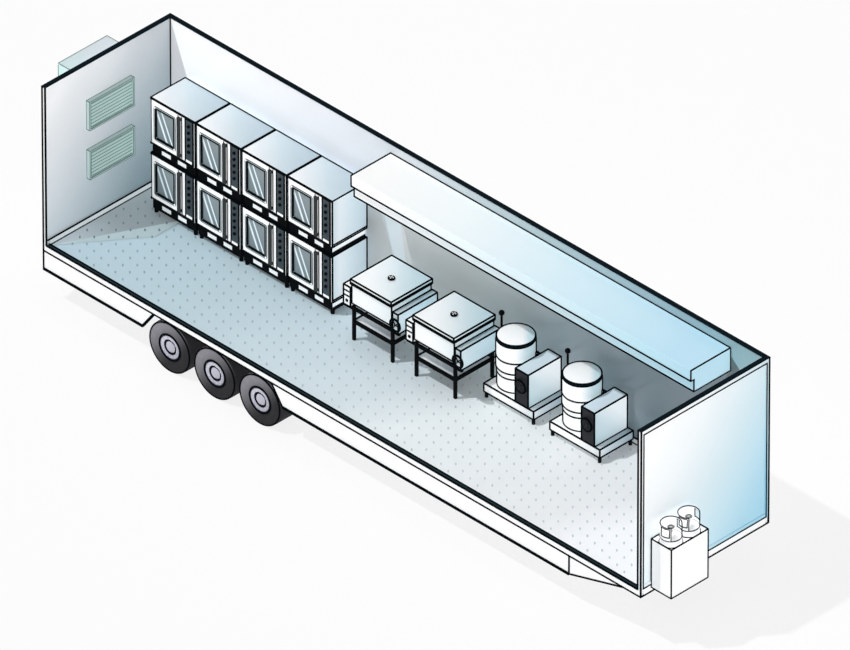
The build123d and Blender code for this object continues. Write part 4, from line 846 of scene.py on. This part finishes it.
# exhaust hood
ridge = (hood["front"], hood["top"])   # drawn without a line
outline = [(hood["back"], hood["top"]), ridge, (hood["front"], hood["step"]),
           (hood["lowFront"], hood["step"]), (hood["lowFront"], hood["low"]), (hood["back"], hood["low"])]
beads("hood_seams", [closed(*((x, y, z) for y, z in outline)) for x in hood["x"]]
      + [[(x, y, z) for x in hood["x"]] for y, z in outline if (y, z) != ridge], hood["seam"])
baffles = {
    "perFilter": 9, "filters": 14, "start": -1.437, "pitch": 0.4884, "gap": 0.006, "y": 0.87, "z": 3.354,
    "rise": 0.2, "run": 0.704, "size": (0.022, 0.71, 0.006),
}
firstBaffle = baffles["start"] + (baffles["pitch"] - baffles["gap"]) / baffles["perFilter"] / 2
grown("hood_baffles", "slats", [(0, 0, 0)], [], {
    "Count": baffles["filters"] * baffles["perFilter"], "Start": (firstBaffle, baffles["y"], baffles["z"]),
    "Step": (baffles["pitch"] / baffles["perFilter"], 0, 0), "Size": baffles["size"],
    "Tilt": (math.atan2(baffles["rise"], baffles["run"]), 0, 0)}, knobSteel)
print("hood dressed")

# gas locker and cylinders
gas = {
    "x": 6.341, "y": (-0.8925, -0.5325), "foot": 0.95, "shoulder": 1.742,
    "collarLow": 1.845, "collarTop": 2.07, "line": 0.0085, "valveLine": 0.005,
    "radius": 0.171, "collar": 0.157, "collarTurns": (40, 315), "posts": (-45, 40),
    "windows": ((-105, -53), (49, 101)), "window": (0.159, 1.904, 2.05),
    "valve": (0.0125, 1.83, 1.975), "handle": (1.997, (0.048, 0.031)),
}
beads("gas_locker_seams", boxLines(*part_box("gas_locker")), 0.0125)
windowRadius, *windowLevels = gas["window"]
cylinderLines = []
cylinderRings = [(gas["collarLow"], windowRadius), (gas["shoulder"], gas["radius"]),
                 (gas["foot"], gas["radius"])]
for y in gas["y"]:
    cylinderLines += [ring((gas["x"], y, z), radius) for z, radius in cylinderRings]
    cylinderLines.append(arc((gas["x"], y, gas["collarTop"]), gas["collar"], *gas["collarTurns"]))
    for turns in gas["windows"]:
        low, high = (arc((gas["x"], y, z), windowRadius, *turns) for z in windowLevels)
        cylinderLines += [low, high, [low[0], high[0]], [low[-1], high[-1]]]
    for turn in gas["posts"]:
        cylinderLines.append([onCircle((gas["x"], y, z), gas["collar"], math.radians(turn))
                              for z in (gas["collarLow"], gas["collarTop"])])
beads("cylinder_rings", cylinderLines, gas["line"])
stemHalf, stemLow, stemHigh = gas["valve"]
handleHigh, handleRadii = gas["handle"]
valveLines = [ring((gas["x"], y, handleHigh), radius, count=24) for y in gas["y"] for radius in handleRadii]
valveLines += [[(gas["x"] + side, y + side, z) for z in (stemLow, stemHigh)]
               for y in gas["y"] for side in (-stemHalf, stemHalf)]
beads("cylinder_valve_rings", valveLines, gas["valveLine"])
print("gas locker dressed")

# ovens
oven = {
    "proud": 0.003, "band": 0.03, "bandShort": 0.028, "seam": 0.0145, "panel": (0.693, 0.887),
    "label": (0.726, 0.843, 0.004), "door": (0.2, 0.94), "doorLines": (0.562, 0.636), "doorLine": 0.0075,
    "doorEdge": 0.007, "doorEdgeLine": 0.0125,
}
bands, panels, labels, seams = [], [], [], []
face, back = ovens["y"], ovens["y"] + ovens["depth"]
proud, band = face - oven["proud"], oven["band"]
for x in ovens["x"]:
    for z in ovens["z"]:
        low, high, right = z + ovens["plinth"], z + ovens["tier"], x + ovens["width"]
        # black bands across the top and the foot of each oven front: the door's gasket, with the shade in the
        # gap round the door painted black along with it
        bands.append(((x, proud, high - band), (right, face, high)))
        bands.append(((x, proud, low), (right - oven["bandShort"], face, low + band)))
        panels.append(((x + oven["panel"][0], proud, low + band), (x + oven["panel"][1], face, high - band)))
        labels.append(((x + oven["label"][0], proud - oven["label"][2], low + 0.032),
                       (x + oven["label"][1], proud, low + 0.075)))
        seams += [
            # on the hinge side the door carries the line between the two bands
            [(x, face, low), (x, face, low + 0.028)], [(x, face, high - 0.028), (x, face, high)],
            [(right, face, low), (right, face, high)],
            [(right, back, low), (right, back, high)], [(x, back, low), (x, back, high)],
            closed((x, face, high), (right, face, high), (right, back, high), (x, back, high)),
            [(right, face, low), (right, back, low), (x, back, low), (x, face, low)],
            [(right, face + 0.01, low + 0.035), (right, back - 0.01, low + 0.035)],
        ]
boxesPiece("oven_bands", bands, blackSatin)
boxesPiece("oven_panels", panels, blackSatin, bevel=0.001)
boxesPiece("oven_labels", labels, labelWhite, bevel=0.001)
beads("oven_seams", seams, oven["seam"])
for tier, z in zip(("lower", "upper"), ovens["z"]):
    for number, x in enumerate(ovens["x"], 1):
        door = f"oven_door_{tier}_{number}"
        low, high = (z + level for level in oven["door"])
        beads(f"oven_door_lines_{tier}_{number}", [
            [(x + place, face - 0.001, low + 0.004), (x + place, face - 0.001, high - 0.004)]
            for place in oven["doorLines"]], oven["doorLine"], rideOn=door)
        edgeX, edgeY = x + oven["doorEdge"], face + oven["doorEdge"]
        beads(f"oven_door_edge_{tier}_{number}", [[(edgeX, edgeY, low), (edgeX, edgeY, high)]],
              oven["doorEdgeLine"], rideOn=door)
print("ovens dressed")

# braising pans
pan = {
    "seam": 0.0145, "lidLine": 0.028, "knob": (0.047, (0.008, 0.024), 0.009),
    "dots": (0.03, 0.029, (15, 105, 195, 285)),
    "dot": {"Radius": 0.0085, "Top": 0.007, "Height": 0.006, "Sides": 12},
    "tubLow": (0.009, 0.02, 1.621), "tubHigh": (0.821, 0.82, 1.955), "tubSeam": 0.0135,
    "consoles": ((-0.152, 0.14), (0.852, 0.11)), "consoleY": (0.01, 0.81), "consoleZ": (1.545, 1.885),
    "wheel": (0.941, -0.031, 1.715), "wheelRadius": 0.1, "grip": 0.0165,
    "button": (-0.082, 0.004, 1.63), "buttonRadius": 0.019, "buttonRim": 0.008,
}


def inPan(x, place):
    return (x + place[0], pans["y"] + place[1], place[2])


consoleLines = []
for number, x in enumerate(pans["x"], 1):
    lid, y, z = f"pan_lid_{number}", pans["y"], pans["lid"] + pan["lidLine"]
    low, high = (x, y, pans["lid"]), (x + pans["width"], y + pans["length"], pans["lid"] + pans["lidHeight"])
    beads(f"pan_lid_seams_{number}", boxLines(low, high) + [
        [(x - 0.001, y - 0.001, z), (high[0] + 0.001, y - 0.001, z), (high[0] + 0.001, high[1], z)]
    ], pan["seam"], rideOn=lid)
    rise, spread, turns = pan["dots"]
    knob = (x + pans["width"] / 2, y + pans["length"] / 2)
    center = (*knob, high[2] + rise)
    dots = [center] + [onCircle(center, spread, math.radians(turn)) for turn in turns]
    grown(f"pan_knob_dots_{number}", "studs", dots, [], pan["dot"], labelWhite, lid)
    radius, levels, thickness = pan["knob"]
    beads(f"pan_knob_rings_{number}", [ring((*knob, high[2] + level), radius, "z", 24) for level in levels],
          thickness, rideOn=lid)
    beads(f"pan_tub_seams_{number}", boxLines(inPan(x, pan["tubLow"]), inPan(x, pan["tubHigh"])),
          pan["tubSeam"], rideOn=f"pan_tub_{number}")
    for start, width in pan["consoles"]:
        low, high = ((start + width * end, pan["consoleY"][end], pan["consoleZ"][end]) for end in (0, 1))
        consoleLines += boxLines(inPan(x, low), inPan(x, high))
beads("console_seams", consoleLines, pan["seam"])
beads("pan_wheel_grips", [ring(inPan(x, pan["wheel"]), pan["wheelRadius"], "y", 40) for x in pans["x"]],
      pan["grip"], sides=8)
beads("pan_button_rims", [ring(inPan(x, pan["button"]), pan["buttonRadius"], "y", 20) for x in pans["x"]],
      pan["buttonRim"], sides=8)
print("pans dressed")

# kettles
kettle = {
    "seam": 0.0145, "bandTop": 0.036, "lidSeam": 0.0125, "outline": 0.019, "waist": 0.289,
    "taper": (0.475, 0.575), "pipe": (1.02, 1.755, 0.033), "pipeX": (0.545, 0.64),
    "pipeRings": (0.558, 0.592, 0.626),
    "wheel": (0.77, 1.55, 0.102), "grip": 0.0155, "cabinet": (0.64, 0.9, 0.67), "base": (1.01, 0.68, 1.07),
}
rim, radius, foot = kettles["rim"], kettles["radius"], kettles["foot"]
pipeY, pipeZ, pipeRadius = kettle["pipe"]
taperTop, taperLow = (rim - drop for drop in kettle["taper"])
bandProfile = [(radius + out, height) for out, height in
               ((-0.004, 0.001), (0.004, 0.002), (0.006, 0.012), (0.005, 0.03), (-0.004, kettle["bandTop"]))]
potRings = [(radius, rim - 0.008), (radius, rim - kettle["waist"]), (radius - 0.001, taperTop),
            (foot, taperLow), (foot, kettles["deck"] + 0.002)]
potSide = [(foot, kettles["deck"] + 0.005), (foot, taperLow), (radius, taperTop - 0.014),
           (radius, rim - 0.01)]
for number, start in enumerate(kettles["x"], 1):
    lid, y = f"kettle_lid_{number}", kettles["y"]
    pot = (start + kettles["pot"], kettles["potY"])
    turned(f"kettle_rim_band_{number}", (*pot, rim), bandProfile, darkTrim, lid)
    beads(f"kettle_lid_edge_{number}", [ring((*pot, rim + kettle["bandTop"]), radius, count=96)],
          kettle["lidSeam"], rideOn=lid)
    outlines = [[onCircle((*pot, z), size, math.radians(turn)) for size, z in potSide] for turn in (45, 225)]
    beads(f"kettle_outline_{number}", outlines, kettle["outline"])
    lines = [ring((*pot, z), size, count=96) for size, z in potRings] + outlines
    lines += [ring((start + place, pipeY, pipeZ), pipeRadius, "x", 20) for place in kettle["pipeRings"]]
    lines += [[(start + place, pipeY + side, pipeZ + rise) for place in kettle["pipeX"]]
              for side, rise in ((0, pipeRadius), (-pipeRadius, 0))]
    beads(f"kettle_seams_{number}", lines, kettle["seam"])
    along, high, size = kettle["wheel"]
    beads(f"kettle_wheel_grip_{number}", [ring((start + along, y - 0.031, high), size, "y", 40)],
          kettle["grip"], sides=8)
    left, right, depth = kettle["cabinet"]
    cabinet = (start + left, y, kettles["deck"]), (start + right, y + depth, kettles["cabinetTop"])
    beads(f"kettle_cabinet_seams_{number}", boxLines(*cabinet), kettle["seam"])
    width, depth, low = kettle["base"]
    plinth = (start, y, low), (start + width, y + depth, kettles["deck"])
    beads(f"kettle_base_seams_{number}", boxLines(*plinth), kettle["seam"])
print("kettles dressed")

# wheels
wheelTrim = {
    "rings": ((0.2135, 64), (0.4065, 96)), "ringOut": 0.191, "ring": 0.0125,
    "nuts": 10, "nutCircle": 0.149, "nutOut": 0.187,
    "nut": {"Radius": 0.0115, "Top": 0.0105, "Height": 0.013, "Sides": 6},
    "tread": {"Lugs": 46, "Radius": 0.4165, "Lug": (0.040, 0.044, 0.009), "Row Step": 0.062},
}
for place, x in wheel["x"].items():
    for side, sign in (("near", -1), ("far", 1)):
        rideOn = f"wheel_{place}_{side}"
        middle, ringMiddle, nutMiddle = ((x, sign * (wheel["y"] + out), wheel["z"]) for out in
                                         (0, wheelTrim["ringOut"], wheelTrim["nutOut"]))
        rings = [ring(ringMiddle, radius, "y", count) for radius, count in wheelTrim["rings"]]
        beads(f"wheel_rings_{place}_{side}", rings, wheelTrim["ring"], rideOn=rideOn, sides=8)
        nuts = ring(nutMiddle, wheelTrim["nutCircle"], "y", wheelTrim["nuts"])[:-1]
        grown(f"wheel_nuts_{place}_{side}", "studs", nuts, [],
              {**wheelTrim["nut"], "Turn": (math.pi / 2 * -sign, 0, 0)}, knobSteel, rideOn)
        grown(f"tyre_tread_{place}_{side}", "tread", [(0, 0, 0)], [],
              {**wheelTrim["tread"], "Center": middle}, tyreRubber, rideOn)
print("wheels dressed")

# stage, light and camera
studio = {
    "ground": 90, "groundGlow": 0.8, "sky": 0.22, "sun": (1.7, (0.34, 0.46, -1.0), 1.2),
    "fills": [(1.15, (0, 1, 0)), (1.85, (-1, 0, 0)), (0.45, (0, 0, -1)), (1.25, (0, -1, 0)), (1, (1, 0, 0))],
    "lens": 1300, "sensor": 36, "clip": (300, 600), "camera": (255.86623, -254.778, 256.91101),
    "aim": (54.76914, 0.02869, 45.04798),
}


def seen(tree):
    # 1 for what the camera sees, straight, mirrored or through glass, and 0 for light that falls on the part
    path = put(tree, "ShaderNodeLightPath").outputs
    straight, mirrored, through = (Field(tree, path[f"Is {kind} Ray"])
                                   for kind in ("Camera", "Glossy", "Transmission"))
    return straight | mirrored | through


reach = studio["ground"]
groundMesh = bpy.data.meshes.new("ground")
corners = [(-reach, -reach, 0), (reach, -reach, 0), (reach, reach, 0), (-reach, reach, 0)]
groundMesh.from_pydata(corners, [], [(0, 1, 2, 3)])
ground = bpy.data.objects.new("ground", groundMesh)
scene.collection.objects.link(ground)
groundPaint = bpy.data.materials.new("groundPaint")
groundPaint.use_nodes = True
tree = groundPaint.node_tree
tree.nodes.clear()
matte = add(tree, "ShaderNodeBsdfDiffuse", {"Color": (0.9, 0.9, 0.9, 1)})
shine = add(tree, "ShaderNodeEmission", {"Color": (1, 1, 1, 1), "Strength": 1.0})
mixed = add(tree, "ShaderNodeMixShader", {0: seen(tree) * studio["groundGlow"], 1: matte, 2: shine})
tree.links.new(mixed, put(tree, "ShaderNodeOutputMaterial").inputs[0])
groundMesh.materials.append(groundPaint)

world = bpy.data.worlds.new("studio")
scene.world = world
world.use_nodes = True
tree = world.node_tree
tree.nodes.clear()
strength = seen(tree) * (1 - studio["sky"]) + studio["sky"]
sky = add(tree, "ShaderNodeBackground", {"Color": (1, 1, 1, 1), "Strength": strength})
tree.links.new(sky, put(tree, "ShaderNodeOutputWorld").inputs[0])


def addSun(name, strength, way, angle=40, shadow=False):
    data = bpy.data.lights.new(name, "SUN")
    data.energy = strength
    data.angle = math.radians(angle)
    data.use_shadow = shadow
    lamp = bpy.data.objects.new(name, data)
    lamp.rotation_mode = "QUATERNION"
    lamp.rotation_quaternion = Vector(way).to_track_quat("-Z", "Y")
    scene.collection.objects.link(lamp)


addSun("sun", *studio["sun"], shadow=True)
for number, fill in enumerate(studio["fills"], 1):
    addSun(f"fill_{number}", *fill)

cameraData = bpy.data.cameras.new("camera")
cameraData.lens = studio["lens"]
cameraData.sensor_width = studio["sensor"]
cameraData.clip_start, cameraData.clip_end = studio["clip"]
camera = bpy.data.objects.new("camera", cameraData)
camera.location = studio["camera"]
camera.rotation_euler = [math.radians(turn) for turn in studio["aim"]]
scene.collection.objects.link(camera)
scene.camera = camera
print("stage, light and camera set")
